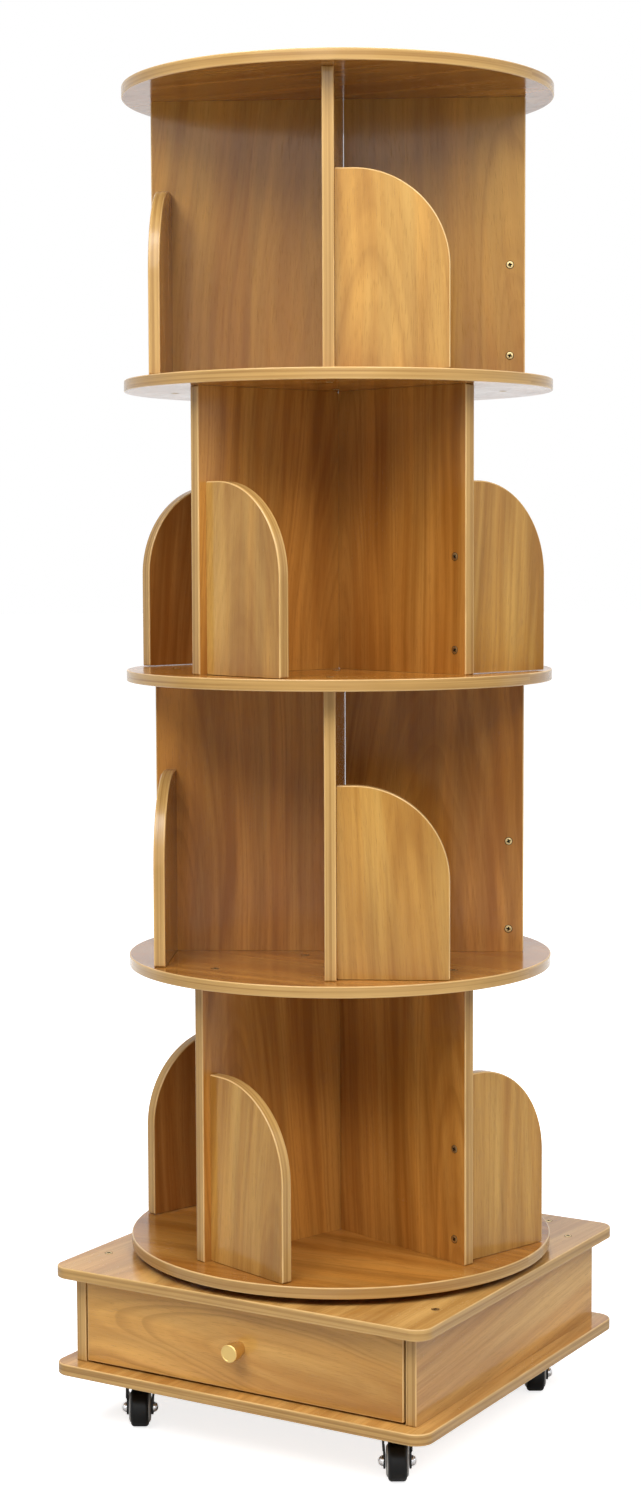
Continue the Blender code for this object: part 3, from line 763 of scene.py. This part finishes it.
def boolean_mesh(name, first, operation, second):
    """Two meshes joined, cut or intersected."""
    pair = [bpy.data.objects.new(name + end, mesh) for end, mesh in (("_body", first), ("_tool", second))]
    for thing in pair:
        bpy.context.scene.collection.objects.link(thing)
    modifier = pair[0].modifiers.new("cut", "BOOLEAN")
    modifier.operation = operation
    modifier.solver = "EXACT"
    modifier.object = pair[1]
    evaluated = pair[0].evaluated_get(bpy.context.evaluated_depsgraph_get())
    result = bpy.data.meshes.new_from_object(evaluated)
    result.name = name
    for thing in pair:
        bpy.data.objects.remove(thing, do_unlink=True)
    return result


def put(name, mesh, finishes, body, place=Matrix(), nodes=(), bevel=0.0):
    """Set a finished piece in its place on a body, standing for CAD nodes where it has any."""
    for finish in finishes:
        mesh.materials.append(finish)
    mesh.transform(place)
    piece = bpy.data.objects.new(name, mesh)
    bpy.context.scene.collection.objects.link(piece)
    if bevel:
        rounding = piece.modifiers.new("rounded edges", "BEVEL")
        rounding.width = bevel
        rounding.segments = 2
        rounding.limit_method = "ANGLE"
        rounding.angle_limit = BEVEL_ANGLE
    even = piece.modifiers.new("even shading", "WEIGHTED_NORMAL")
    even.keep_sharp = True
    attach(piece, body)
    if nodes:
        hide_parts(*nodes)


def put_board(node, mesh, kind, wood, thickness, body, place=Matrix()):
    """Set a laminate board in the place of its CAD node."""
    put(node + "_laminate", mesh, wood_finishes(kind, wood, thickness / 2), body, place, [node])


def finish_node(node, finish):
    """Give a CAD node that stays in view its finish."""
    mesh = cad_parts[node].data
    mesh.materials.clear()
    mesh.materials.append(finish)


def node_points(node):
    """Points of a CAD node."""
    return [vertex.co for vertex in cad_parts[node].data.vertices]


def turned_box(node, place):
    """Lowest and highest corner of a CAD node in the frame of a matrix."""
    back = place.inverted()
    points = [back @ point for point in node_points(node)]
    return [Vector([pick(point[axis] for point in points) for axis in range(3)]) for pick in (min, max)]


def axes(x_axis, y_axis, origin):
    """Matrix of a local frame from its x axis, its y axis and its origin."""
    x, y = Vector(x_axis), Vector(y_axis)
    return Matrix.Translation(origin) @ Matrix((x, y, x.cross(y))).transposed().to_4x4()


def facing_down(spot):
    """Frame at a spot with its z axis down."""
    return axes((1, 0, 0), (0, -1, 0), spot)


def about_z(turn):
    """A turn round the upright axis."""
    return Matrix.Rotation(turn, 4, "Z")


def is_turned(tier):
    """Whether a tier is turned against the top one."""
    return (TIERS[-1] - tier) % 2 == 1


def tier_place(tier, index, column):
    """Frame of one divider: its outer edge towards -Y, its bookend on the +X side."""
    stagger = column.stagger if is_turned(tier) else 0.0
    return about_z(column.turn - stagger + index * math.tau / len(SIDES))


def tier_boards(kind, column):
    """Every divider or bookend: its tier, index and node, its divider's frame, and its box in that frame."""
    for tier in TIERS:
        for index, side in enumerate(SIDES):
            node = f"tier{tier}_{kind}_{side}"
            turn = tier_place(tier, index, column)
            yield tier, index, node, turn, *turned_box(node, turn)


class BOOKCASE_OT_round_boards(bpy.types.Operator):
    """Make the round top board and the round floors of the tiers"""

    bl_idname = "bookcase.round_boards"
    bl_label = "Round boards"

    def execute(self, context):
        wood = context.scene.bookcase_wood
        steps, first_cut = 256, 3
        for index, node in enumerate([f"shelf_{tier}" for tier in TIERS] + ["top_board"]):
            low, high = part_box(node)
            thickness = high.z - low.z
            outline = circle((high.y - low.y) / 2, steps)
            mesh = board_mesh(node, outline, thickness, wood.ease, cut_from_sheet(index + first_cut), True)
            put_board(node, mesh, "shelf_wood", wood, thickness, "column",
                      Matrix.Translation((low + high) / 2))
        return {"FINISHED"}


class BOOKCASE_OT_dividers(bpy.types.Operator):
    """Make the sixteen upright dividers"""

    bl_idname = "bookcase.dividers"
    bl_label = "Dividers"

    def execute(self, context):
        wood = context.scene.bookcase_wood
        column = context.scene.bookcase_column
        tier_cuts, side_cuts = 7, 3
        for tier, index, node, turn, low, high in tier_boards("divider", column):
            if is_turned(tier):
                high.y += column.closer
            low.z -= wood.seat
            high.z += wood.seat
            size = high - low
            outline = rounded_rectangle(size.y, size.z, wood.corner)
            inner, end = (wood.corner - size.y) / 2, size.z / 2 - wood.corner * SAWN_RIM
            cut = cut_from_sheet(tier * tier_cuts + index * side_cuts)
            mesh = board_mesh(node, outline, size.x, wood.ease, cut,
                              is_raw=lambda x, y: x < inner or abs(y) > end)
            # The top tier's dividers take the paler copy of the divider wood, as painted light and
            # reflection.
            kind = "top_divider_wood" if tier == TIERS[-1] else "divider_wood"
            put_board(node, mesh, kind, wood, size.x, "column",
                      turn @ axes((0, -1, 0), UP, (low + high) / 2))
        return {"FINISHED"}


class BOOKCASE_OT_bookends(bpy.types.Operator):
    """Make the sixteen bookends with their quarter-round shoulders"""

    bl_idname = "bookcase.bookends"
    bl_label = "Bookends"

    def execute(self, context):
        wood = context.scene.bookcase_wood
        column = context.scene.bookcase_column
        first_cut, tier_cuts, side_cuts, shoulder_steps = 2, 5, 11, 40
        for tier, index, node, turn, low, high in tier_boards("bookend", column):
            low.x -= wood.seat
            low.z -= wood.seat
            size = high - low
            foot = rounded_rectangle(size.x, size.z, wood.corner)
            kept = [point for point in foot if point[0] < 0.0 or point[1] < 0.0]
            split = next(i for i, point in enumerate(kept) if point[1] > 0.0)
            centre = (size.x / 2 - column.shoulder, size.z / 2 - column.shoulder)
            shoulder = arc(centre, column.shoulder, 0.0, math.pi / 2, shoulder_steps)
            rim = wood.corner * SAWN_RIM
            inner, end = rim - size.x / 2, rim - size.z / 2
            cut = cut_from_sheet(tier * tier_cuts + index * side_cuts + first_cut)
            mesh = board_mesh(node, kept[:split] + shoulder + kept[split:], size.y, wood.ease, cut,
                              is_raw=lambda x, y: x < inner or y < end)
            # The last bookend of each turned tier stands in shade and takes the redder copy of the wood, as
            # painted shade.
            is_in_shade = is_turned(tier) and index == len(SIDES) - 1
            kind = "red_bookend_wood" if is_in_shade else "bookend_wood"
            put_board(node, mesh, kind, wood, size.y, "column",
                      turn @ axes((1, 0, 0), UP, (low + high) / 2))
        return {"FINISHED"}


class BOOKCASE_OT_base(bpy.types.Operator):
    """Make the two square boards of the base, its side panels and its back"""

    bl_idname = "bookcase.base"
    bl_label = "Base boards"

    def execute(self, context):
        wood = context.scene.bookcase_wood
        corner_steps, first_cut = 12, 21
        for index, node in enumerate(("base_top_board", "base_bottom_board")):
            low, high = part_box(node)
            size = high - low
            straight = max(point.y for point in node_points(node) if point.x > high.x - CLOSE)
            outline = rounded_rectangle(size.x, size.y, high.y - straight, corner_steps)
            mesh = board_mesh(node, outline, size.z, wood.ease, cut_from_sheet(index + first_cut))
            put_board(node, mesh, "base_wood", wood, size.z, "base",
                      Matrix.Translation((low + high) / 2))
        runs = {"base_left_side": (0, -1, 0), "base_right_side": (0, 1, 0), "base_back_panel": (-1, 0, 0)}
        panel_cut, panel_cuts = 31, 3
        for index, (node, run) in enumerate(runs.items()):
            cut = cut_from_sheet(index * panel_cuts + panel_cut)
            put_upright(node, run, "base_wood", wood, cut, "base", wood.seat)
        return {"FINISHED"}


def put_upright(node, run, kind, wood, cut, body, seat=0.0):
    """Set an upright board with grain along its run in the place of its CAD node.

    A board with a seat reaches that far into the joints above and below it, with sawn edges there.
    """
    low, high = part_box(node)
    low.z -= seat
    high.z += seat
    size = high - low
    width, thickness = size.xy if abs(run[0]) > 0 else size.yx
    outline = rounded_rectangle(width, size.z, wood.corner)
    end = size.z / 2 - wood.corner * SAWN_RIM
    mesh = board_mesh(node, outline, thickness, wood.ease, cut, grain_along_x=True,
                      is_raw=lambda x, y: seat > 0.0 and abs(y) > end)
    put_board(node, mesh, kind, wood, thickness, body, axes(run, UP, (low + high) / 2))


class BOOKCASE_OT_drawer(bpy.types.Operator):
    """Make the drawer front, the folded box with its bottom, and the knob"""

    bl_idname = "bookcase.drawer"
    bl_label = "Drawer"

    def execute(self, context):
        wood = context.scene.bookcase_wood
        hardware = context.scene.bookcase_hardware
        front_cut = Vector((0.012, -0.479, 5.3))
        put_upright("drawer_front", (1, 0, 0), "drawer_front", wood, front_cut, "drawer")
        self.make_box(wood)
        finish_node("drawer_bottom", hardboard(wood))
        self.make_knob(hardware)
        return {"FINISHED"}

    def make_box(self, wood):
        """Two sides and a back of the folded box."""
        low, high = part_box("drawer_box")
        groove, steps, first_cut = 0.0037, 3, 44
        wall = high.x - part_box("drawer_bottom")[1].x + groove
        size, middle = high - low, (low + high) / 2
        runs = {"left": ((0, -1, 0), size.y, (low.x + wall / 2, middle.y, middle.z)),
                "right": ((0, 1, 0), size.y, (high.x - wall / 2, middle.y, middle.z)),
                "back": ((-1, 0, 0), size.x - 2 * wall, (middle.x, high.y - wall / 2, middle.z))}
        parts = []
        for index, (end, (run, width, centre)) in enumerate(runs.items()):
            outline = rounded_rectangle(width, size.z, wood.corner, steps)
            cut = cut_from_sheet(index + first_cut)
            mesh = board_mesh(f"drawer_{end}", outline, wall, wood.ease, cut, True, steps)
            parts.append((mesh, axes(run, UP, centre)))
        box = merged_mesh("drawer_box", parts)
        put_board("drawer_box", box, "drawer_box", wood, wall, "drawer")

    def make_knob(self, hardware):
        """Turned knob with a bevelled rim, and the screw that holds it from inside."""
        low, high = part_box("drawer_knob")
        radius, reach = (high.x - low.x) / 2, high.y - low.y
        neck, head, rim = radius * 0.74, reach * 0.46, reach * 0.06
        brim, bed, hollow, dish = radius * 0.80, radius * 0.78, 0.0030, 0.0002
        hollow_steps, rim_steps, steps = 6, 5, 64
        profile = [(0.0, 0.0), (neck, 0.0), (neck, head - hollow)]
        profile += [(neck + (radius - neck) * (1 - math.cos(turn)), head - hollow * (1 - math.sin(turn)))
                    for turn in quarter(hollow_steps, 1)]
        profile += [(radius, head + dish), (radius, reach - rim)]
        profile += [(radius - rim * (1 - math.cos(turn)), reach - rim * (1 - math.sin(turn)))
                    for turn in quarter(rim_steps, 1)]
        profile += [(brim, reach), (bed, reach - dish), (0.0, reach - dish)]
        x, z = (low.x + high.x) / 2, (low.z + high.z) / 2
        knob = turned_mesh("drawer_knob", profile, steps)
        put("drawer_knob_turned", knob, [metal("knob_brass", hardware.brass)], "drawer",
            axes((1, 0, 0), UP, (x, high.y, z)), ["drawer_knob"])
        inside = axes((-1, 0, 0), UP, (x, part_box("drawer_front")[1].y, z))
        put_screws("knob_screw", [inside], hardware, "drawer")


def new_screw(name, hardware):
    """Countersunk head on z = 0 with a driver cross painted dark inside for its shade, and a dark ring
    painted round the head for the shadow in the gap of its countersink.
    """
    radius, proud, depth = hardware.screw_radius, hardware.screw_proud, hardware.cross_depth
    reach, half, shadow_rim = hardware.cross_reach, hardware.cross_width / 2, hardware.sink_radius
    steps, dome_steps, flat, tip, sunk = 32, 6, 0.45, radius * 0.4, depth * 1.6
    recess_reach, recess_top, gap_shadow_reach = reach * 1.02, proud * 0.40, radius * 0.96
    dome = [(radius * math.sin(turn), proud * (flat + (1.0 - flat) * math.cos(turn)))
            for turn in quarter(dome_steps)]
    profile = dome + [(radius, 0.0), (tip, -sunk), (0.0, -sunk)]
    head = turned_mesh("screw_blank", profile[::-1], steps)
    cross = []
    for turn in range(4):
        arm = Matrix.Rotation(turn * math.pi / 2, 2)
        cross += [arm @ Vector(point) for point in ((half, -half), (reach, -half), (reach, half))]
    driver = extruded_mesh("screw_driver", cross, depth + 2 * proud, Matrix.Translation((0, 0, -depth)))
    head = boolean_mesh("screw_cut", head, "DIFFERENCE", driver)
    head.shade_smooth()
    head.set_sharp_from_angle(angle=DRIVER_CREASE)
    # Faces inside the driver cross take the near-black material: painted shade in the recess.
    for polygon in head.polygons:
        x, y, z = polygon.center
        polygon.material_index = 1 if math.hypot(x, y) < recess_reach and z < recess_top else 0
    # A near-black flat ring just above the board round the head: painted shadow for the gap of the
    # countersink.
    edge_rise, gap_shadow_rise = 0.00004, 0.00008
    rim = [(0.0, -2 * sunk), (shadow_rim, -2 * sunk), (shadow_rim, edge_rise), (gap_shadow_reach, gap_shadow_rise), (0.0, gap_shadow_rise)]
    gap_shadow = turned_mesh("screw_gap", rim, steps, [1] * len(rim))
    return merged_mesh(name, [(head, Matrix()), (gap_shadow, Matrix())])


def put_screws(name, places, hardware, body):
    """Set screws with plated heads, and with painted shade in their recesses and round their heads, in their
    places on a body.
    """
    head = shared(bpy.data.meshes, new_screw, "screw_head", hardware)
    # The recess colour is the plating darkened to near black: painted shade.
    recess_shade = 0.02
    finishes = [metal("screw_zinc", hardware.zinc),
                metal("screw_recess", shaded(hardware.zinc, recess_shade))]
    put(name, merged_mesh(name, [(head, place) for place in places]), finishes, body)


class BOOKCASE_OT_screws(bpy.types.Operator):
    """Set the countersunk screws of the column and the base"""

    bl_idname = "bookcase.screws"
    bl_label = "Screws"

    def execute(self, context):
        hardware = context.scene.bookcase_hardware
        column = context.scene.bookcase_column
        places = self.bookend_screws(column) + self.board_screws(column)
        put_screws("column_screws", places, hardware, "column")
        places = self.base_screws(hardware.base_screw_reach) + self.plate_screws(hardware.plate_screw_reach)
        put_screws("base_screws", places, hardware, "base")
        return {"FINISHED"}

    def bookend_screws(self, column):
        """Two screws through each divider into its bookend."""
        places = []
        tier_twist, step_twist = 0.7, 0.5
        for tier, index, node, turn, low, high in tier_boards("bookend", column):
            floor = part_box(f"shelf_{tier}")[1].z
            face = turned_box(node.replace("bookend", "divider"), turn)[0].x
            for step, height in enumerate((column.low_screw, column.high_screw)):
                spot = (face, (low.y + high.y) / 2, floor + height)
                twist = about_z(tier * tier_twist + step * step_twist)
                places.append(turn @ axes((0, -1, 0), UP, spot) @ twist)
        return places

    def board_screws(self, column):
        """Screws through the round boards into the ends of the dividers."""
        places = []
        side_twist, radius_twist = 0.9, 5.0
        for tier in TIERS:
            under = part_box(f"shelf_{tier}")[0].z
            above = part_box(f"shelf_{tier + 1}" if tier < TIERS[-1] else "top_board")[1].z
            for index in range(len(SIDES)):
                turn = tier_place(tier, index, column)
                for radius in (column.inner_screw, column.outer_screw):
                    twist = about_z(index * side_twist + radius * radius_twist)
                    places.append(turn @ Matrix.Translation((0, -radius, above)) @ twist)
                    places.append(turn @ facing_down((0, -radius, under)) @ twist)
        return places

    def base_screws(self, reach):
        """Screws through the square boards into the panels."""
        places = []
        end_twist = 0.6
        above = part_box("base_top_board")[1].z
        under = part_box("base_bottom_board")[0].z
        for node in ("base_left_side", "base_right_side", "base_back_panel"):
            low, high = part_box(node)
            middle = (low + high) / 2
            along = Vector((1, 0, 0) if node == "base_back_panel" else (0, 1, 0))
            for index, end in enumerate((-1, 1)):
                spot = middle + along * end * reach
                twist = about_z(index * end_twist)
                places.append(Matrix.Translation((spot.x, spot.y, above)) @ twist)
                places.append(facing_down((spot.x, spot.y, under)) @ twist)
        return places

    def plate_screws(self, reach):
        """Four screws up through each caster plate."""
        places = []
        hole_twist = 0.8
        for corner in CORNERS:
            low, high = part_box(f"caster_{corner}_plate")
            middle = (low + high) / 2
            points = node_points(f"caster_{corner}_plate")
            under = min(point.z for point in points if point.x > high.x - CLOSE)
            for index, (x, y) in enumerate(((-1, -1), (-1, 1), (1, -1), (1, 1))):
                spot = (middle.x + x * reach, middle.y + y * reach, under)
                places.append(facing_down(spot) @ about_z(index * hole_twist))
        return places


class BOOKCASE_OT_turntable(bpy.types.Operator):
    """Finish the turntable's plates"""

    bl_idname = "bookcase.turntable"
    bl_label = "Turntable"

    def execute(self, context):
        steel = metal("bearing_steel", context.scene.bookcase_hardware.steel)
        for node in ("turntable_lower_plate", "turntable_upper_plate"):
            finish_node(node, steel)
        return {"FINISHED"}


class BOOKCASE_OT_casters(bpy.types.Operator):
    """Make the forks, wheels and nuts of the four casters"""

    bl_idname = "bookcase.casters"
    bl_label = "Casters"

    def execute(self, context):
        casters = context.scene.bookcase_casters
        black = metal("caster_black_steel", casters.black_steel)
        chrome = metal("caster_chrome", context.scene.bookcase_hardware.chrome)
        turned = [metal("wheel_tread", casters.tread), metal("wheel_hub", casters.hub)]
        bevel = 0.0004
        for corner in CORNERS:
            plate, fork, wheel = [f"caster_{corner}_{piece}" for piece in ("plate", "fork", "wheel")]
            finish_node(plate, black)
            low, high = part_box(plate)
            middle = (low + high) / 2
            place = Matrix.Translation((middle.x, middle.y, 0.0)) @ about_z(casters.turn)
            wheel_box, fork_high = turned_box(wheel, place), turned_box(fork, place)[1]
            axle = (wheel_box[0] + wheel_box[1]) / 2
            half = (wheel_box[1].x - wheel_box[0].x) / 2
            room = half + casters.play
            crown = wheel_box[1].z + casters.sheet + casters.headroom
            mesh = fork_mesh(fork, casters, axle, room, crown, fork_high.z)
            put(fork + "_folded", mesh, [black], fork, place, [fork], bevel)
            mesh = nut_mesh(fork + "_nuts", casters, axle, room + casters.sheet, fork_high.x)
            put(f"caster_{corner}_nuts", mesh, [chrome], fork, place)
            spin = place @ Matrix.Translation(axle) @ Matrix.Rotation(math.pi / 2, 4, "Y")
            mesh = wheel_mesh(wheel, casters, axle.z, half)
            put(wheel + "_turned", mesh, turned, wheel, spin, [wheel])
        return {"FINISHED"}


def leg_section(casters, half, axle, crown):
    """Closed front section of the folded fork: joggled legs, rounded folds and crown."""
    sheet, flare, bend = casters.sheet, casters.flare, casters.bend
    steps, fold_steps, foot_reach = 8, 6, 1.5
    joggle = [axle.z + casters.flare_rise + 2 * flare * step / steps for step in range(steps + 1)]
    ease = [flare * (1 - math.cos(math.pi * step / steps)) / 2 for step in range(steps + 1)]
    foot = axle.z - casters.eye * foot_reach
    fold = (half + sheet + flare - bend, crown - bend)
    outer, inner = [[(face, foot)] + [(face + out, z) for out, z in zip(ease, joggle)]
                    + arc(fold, radius, 0.0, math.pi / 2, fold_steps)
                    for face, radius in ((half + sheet, bend), (half, bend - sheet))]
    return outer + [(-x, z) for x, z in outer[::-1]] + [(-x, z) for x, z in inner] + inner[::-1]


def fork_mesh(name, casters, axle, half, crown, cup_top):
    """Folded fork with its round leg ends, race cup and king bolt."""
    sheet, eye, back, front = casters.sheet, casters.eye, casters.back, -casters.front
    depth = 4 * casters.front
    section = leg_section(casters, half, axle, crown)
    folded = extruded_mesh("fork_folded", section, depth, axes((1, 0, 0), UP, (0, depth / 2, 0)))
    eye_start, eye_end, eye_steps = math.radians(-160.0), math.radians(-15.0), 24
    side = arc((axle.y, axle.z), eye, eye_start, eye_end, eye_steps)
    side += [(back, crown - 2 * sheet), (back, crown + sheet), (front, crown + sheet),
             (front - eye / 2, crown - sheet - eye)]
    width = 2 * (half + sheet + casters.flare) + 2 * sheet
    to_side = Matrix(((0, 0, 1, -width / 2), (1, 0, 0, 0), (0, 1, 0, 0), (0, 0, 0, 1)))
    outline = extruded_mesh("fork_side", side, width, to_side)
    legs = boolean_mesh("fork_sheet", folded, "INTERSECT", outline)

    bite, lip, mouth, cup_steps = 0.0002, 0.0006, 0.3, 48
    cup, wall, seat = casters.cup, casters.cup_wall, crown - bite
    ring = [(cup - wall, seat), (cup, seat), (cup, cup_top - lip), (cup - wall * mouth, cup_top),
            (cup - wall, cup_top)]
    pieces = [legs, turned_mesh("fork_cup", ring + ring[:1], cup_steps)]
    top = crown - sheet + bite
    under = top - casters.king_drop
    bolt, bolt_end = casters.king_nut * 0.46, under - casters.king_bolt
    kings = {"fork_king_nut": (casters.king_nut, under, 0.88, 0.0007, 6),
             "fork_king_bolt": (bolt, bolt_end, 0.7, 0.0006, 24)}
    for label, (radius, low, tip, chamfer, steps) in kings.items():
        profile = [(0.0, low), (radius * tip, low), (radius, low + chamfer), (radius, top), (0.0, top)]
        pieces.append(turned_mesh(label, profile, steps))
    mesh = merged_mesh(name, [(piece, Matrix()) for piece in pieces])
    mesh.shade_smooth()
    mesh.set_sharp_from_angle(angle=CREASE)
    return mesh


def nut_mesh(name, casters, axle, seat, end):
    """Domed nut on each end of the axle."""
    reach = end - seat
    washer, foot, base = reach * 0.10, reach * 0.14, reach * 0.45
    flange, side, dome = casters.nut * 1.04, casters.nut * 0.98, casters.nut * 0.86
    flats, dome_steps, steps = base * 0.8, 8, 36
    profile = [(0.0, 0.0), (flange, 0.0), (flange, washer), (side, foot), (side, flats), (dome, base)]
    profile += [(dome * math.cos(turn), base + (reach - base) * math.sin(turn))
                for turn in quarter(dome_steps, 1)]
    profile[-1] = (0.0, reach)
    nut = turned_mesh("caster_nut", profile, steps)
    parts = []
    for way in (-1, 1):
        place = Matrix.Translation((way * seat, axle.y, axle.z)) @ Matrix.Rotation(way * math.pi / 2, 4, "Y")
        parts.append((nut, place))
    return merged_mesh(name, parts)


def wheel_mesh(name, casters, radius, width):
    """Turned wheel: black tread with round shoulders and a pale disc on each side."""
    tread, soft, hub = casters.tread_width / 2, casters.tread_round, casters.hub_radius
    boss, foot, flat, rim = [hub * share for share in (0.42, 0.46, 0.86, 0.95)]
    dish, slope, lip, groove = 0.0004, 0.0010, 0.0002, 0.0005
    half = [(0.0, width), (boss, width), (foot, width - dish), (flat, width - dish), (rim, width - slope),
            (hub, tread + lip), (hub, tread - dish), (hub + groove, tread)]
    disc_stretches, shoulder_steps, steps = 5, 8, 96
    half += [(radius - soft * (1 - math.sin(turn)), tread - soft * (1 - math.cos(turn)))
             for turn in quarter(shoulder_steps)]
    finishes = [1] * disc_stretches + [0] * (len(half) - 1 - disc_stretches)
    profile = [(r, -z) for r, z in half] + half[::-1]
    return turned_mesh(name, profile, steps, finishes + [0] + finishes[::-1])


class BOOKCASE_OT_stage(bpy.types.Operator):
    """Set up the floor, the lights, the white surroundings and the camera"""

    bl_idname = "bookcase.stage"
    bl_label = "Stage"

    def execute(self, context):
        stage = context.scene.bookcase_stage
        self.make_floor(stage)
        self.make_world(context.scene, stage)
        for name, box in SOFTBOXES.items():
            self.make_light(name + "_softbox", stage.heading, box, getattr(stage, name))
        self.make_camera(context.scene, stage)
        context.scene.view_settings.view_transform = "Standard"
        return {"FINISHED"}

    def make_floor(self, stage):
        """White floor that keeps the object's shadow, and is clear from below."""
        bm = bmesh.new()
        bmesh.ops.create_circle(bm, cap_ends=True, radius=30.0, segments=96)
        mesh = take_mesh("studio_floor", bm)
        made, sheet, shader = new_material("studio_floor")
        place = sheet.place()
        speckle_cycles, speckle_detail, speckle_shade = (60.0, 60.0, 60.0), 3.0, 0.985
        roughness, gloss = 0.9, 0.1
        speckle = sheet.noise(place, speckle_cycles, speckle_detail)
        tone = sheet.mix(speckle, stage.floor_tone, shaded(stage.floor_tone, speckle_shade))
        sheet.fill(shader, Base_Color=tone, Roughness=roughness, Specular_IOR_Level=gloss)
        away = sheet.vector("LENGTH", place, output="Value")
        level = sheet.spread(away, stage.floor_near, stage.floor_far, stage.floor_glow, 1.0)
        into = (-math.sin(stage.heading), math.cos(stage.heading), 0.0)
        behind = sheet.vector("DOT_PRODUCT", place, into, output="Value")
        backdrop = sheet.spread(behind, stage.floor_near, stage.floor_far)
        rays = sheet.add("ShaderNodeLightPath").outputs
        shown = sheet.math("MAXIMUM", rays["Is Camera Ray"], rays["Is Transmission Ray"])
        direct = sheet.math("MULTIPLY", shown, level)
        strength = sheet.math("MULTIPLY_ADD", rays["Is Glossy Ray"], backdrop, direct)
        glow = sheet.fill(sheet.add("ShaderNodeEmission"), Strength=strength)[0]
        lit = sheet.result("ShaderNodeAddShader", shader.outputs[0], glow)
        below = sheet.add("ShaderNodeNewGeometry").outputs["Backfacing"]
        clear = sheet.add("ShaderNodeBsdfTransparent").outputs[0]
        surface_shader = sheet.result("ShaderNodeMixShader", below, lit, clear)
        sheet.fill(made.node_tree.nodes["Material Output"], Surface=surface_shader)
        mesh.materials.append(made)
        floor = bpy.data.objects.new("studio_floor", mesh)
        bpy.context.scene.collection.objects.link(floor)
        floor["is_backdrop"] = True

    def make_world(self, scene, stage):
        """White surroundings with an even light of their own."""
        world = bpy.data.worlds.new("studio")
        world.use_nodes = True
        sheet = NodeSheet(world.node_tree)
        rays = sheet.add("ShaderNodeLightPath").outputs
        shown = sheet.math("MAXIMUM", rays["Is Camera Ray"], rays["Is Glossy Ray"])
        shown = sheet.math("MAXIMUM", shown, rays["Is Transmission Ray"])
        level = sheet.math("MULTIPLY_ADD", shown, 1.0 - stage.sky, stage.sky)
        sheet.fill(world.node_tree.nodes["Background"], Color=(1.0, 1.0, 1.0), Strength=level)
        scene.world = world

    def make_light(self, name, heading, box, power):
        """A square softbox aimed at the axis."""
        lamp = bpy.data.lights.new(name, "AREA")
        lamp.shape = "SQUARE"
        lamp.size = box.size
        lamp.energy = power
        turn = about_z(heading + math.radians(box.aside))
        turn = turn @ Matrix.Rotation(math.radians(90.0 - box.above), 4, "X")
        thing = bpy.data.objects.new(name, lamp)
        aim = Matrix.Translation((0, 0, box.height))
        thing.matrix_world = aim @ turn @ Matrix.Translation((0, 0, box.reach))
        bpy.context.scene.collection.objects.link(thing)

    def make_camera(self, scene, stage):
        """Camera at the height of the third tier, a little to the right of the drawer."""
        lens = bpy.data.cameras.new("camera")
        lens.lens = stage.lens
        lens.sensor_width = 36.0
        lens.sensor_fit = "AUTO"
        thing = bpy.data.objects.new("camera", lens)
        turn = about_z(stage.heading) @ Matrix.Rotation(math.pi / 2 - stage.pitch, 4, "X")
        thing.matrix_world = Matrix.Translation(stage.camera) @ turn @ about_z(stage.roll)
        scene.collection.objects.link(thing)
        scene.camera = thing


OPERATORS = (BOOKCASE_OT_round_boards, BOOKCASE_OT_dividers, BOOKCASE_OT_bookends, BOOKCASE_OT_base,
             BOOKCASE_OT_drawer, BOOKCASE_OT_turntable, BOOKCASE_OT_casters, BOOKCASE_OT_screws,
             BOOKCASE_OT_stage)
SETTINGS = {"bookcase_wood": BookcaseWood, "bookcase_column": BookcaseColumn,
            "bookcase_hardware": BookcaseHardware, "bookcase_casters": BookcaseCasters,
            "bookcase_stage": BookcaseStage}


class BOOKCASE_PT_panel(bpy.types.Panel):
    """Settings and makers of the bookcase's pieces"""

    bl_idname = "BOOKCASE_PT_panel"
    bl_label = "Revolving bookcase"
    bl_space_type = "VIEW_3D"
    bl_region_type = "UI"
    bl_category = "Bookcase"

    def draw(self, context):
        for operator in OPERATORS:
            self.layout.operator(operator.bl_idname)
        for name, group in SETTINGS.items():
            box = self.layout.box()
            box.label(text=group.__doc__)
            for key in group.__annotations__:
                box.prop(getattr(context.scene, name), key)


CLASSES = (*SETTINGS.values(), *OPERATORS, BOOKCASE_PT_panel)


def register():
    for kind in CLASSES:
        bpy.utils.register_class(kind)
    for name, group in SETTINGS.items():
        setattr(bpy.types.Scene, name, bpy.props.PointerProperty(type=group))


def unregister():
    for name in SETTINGS:
        delattr(bpy.types.Scene, name)
    for kind in reversed(CLASSES):
        bpy.utils.unregister_class(kind)


def main():
    register()
    bpy.ops.bookcase.round_boards()
    bpy.ops.bookcase.dividers()
    bpy.ops.bookcase.bookends()
    bpy.ops.bookcase.base()
    bpy.ops.bookcase.drawer()
    bpy.ops.bookcase.turntable()
    bpy.ops.bookcase.casters()
    bpy.ops.bookcase.screws()
    bpy.ops.bookcase.stage()
    boxes = {"cad": CAD_BOX, "visual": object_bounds()}
    sizes = {name: [[float(part) for part in corner] for corner in box] for name, box in boxes.items()}


if __name__ == "__main__":
    main()
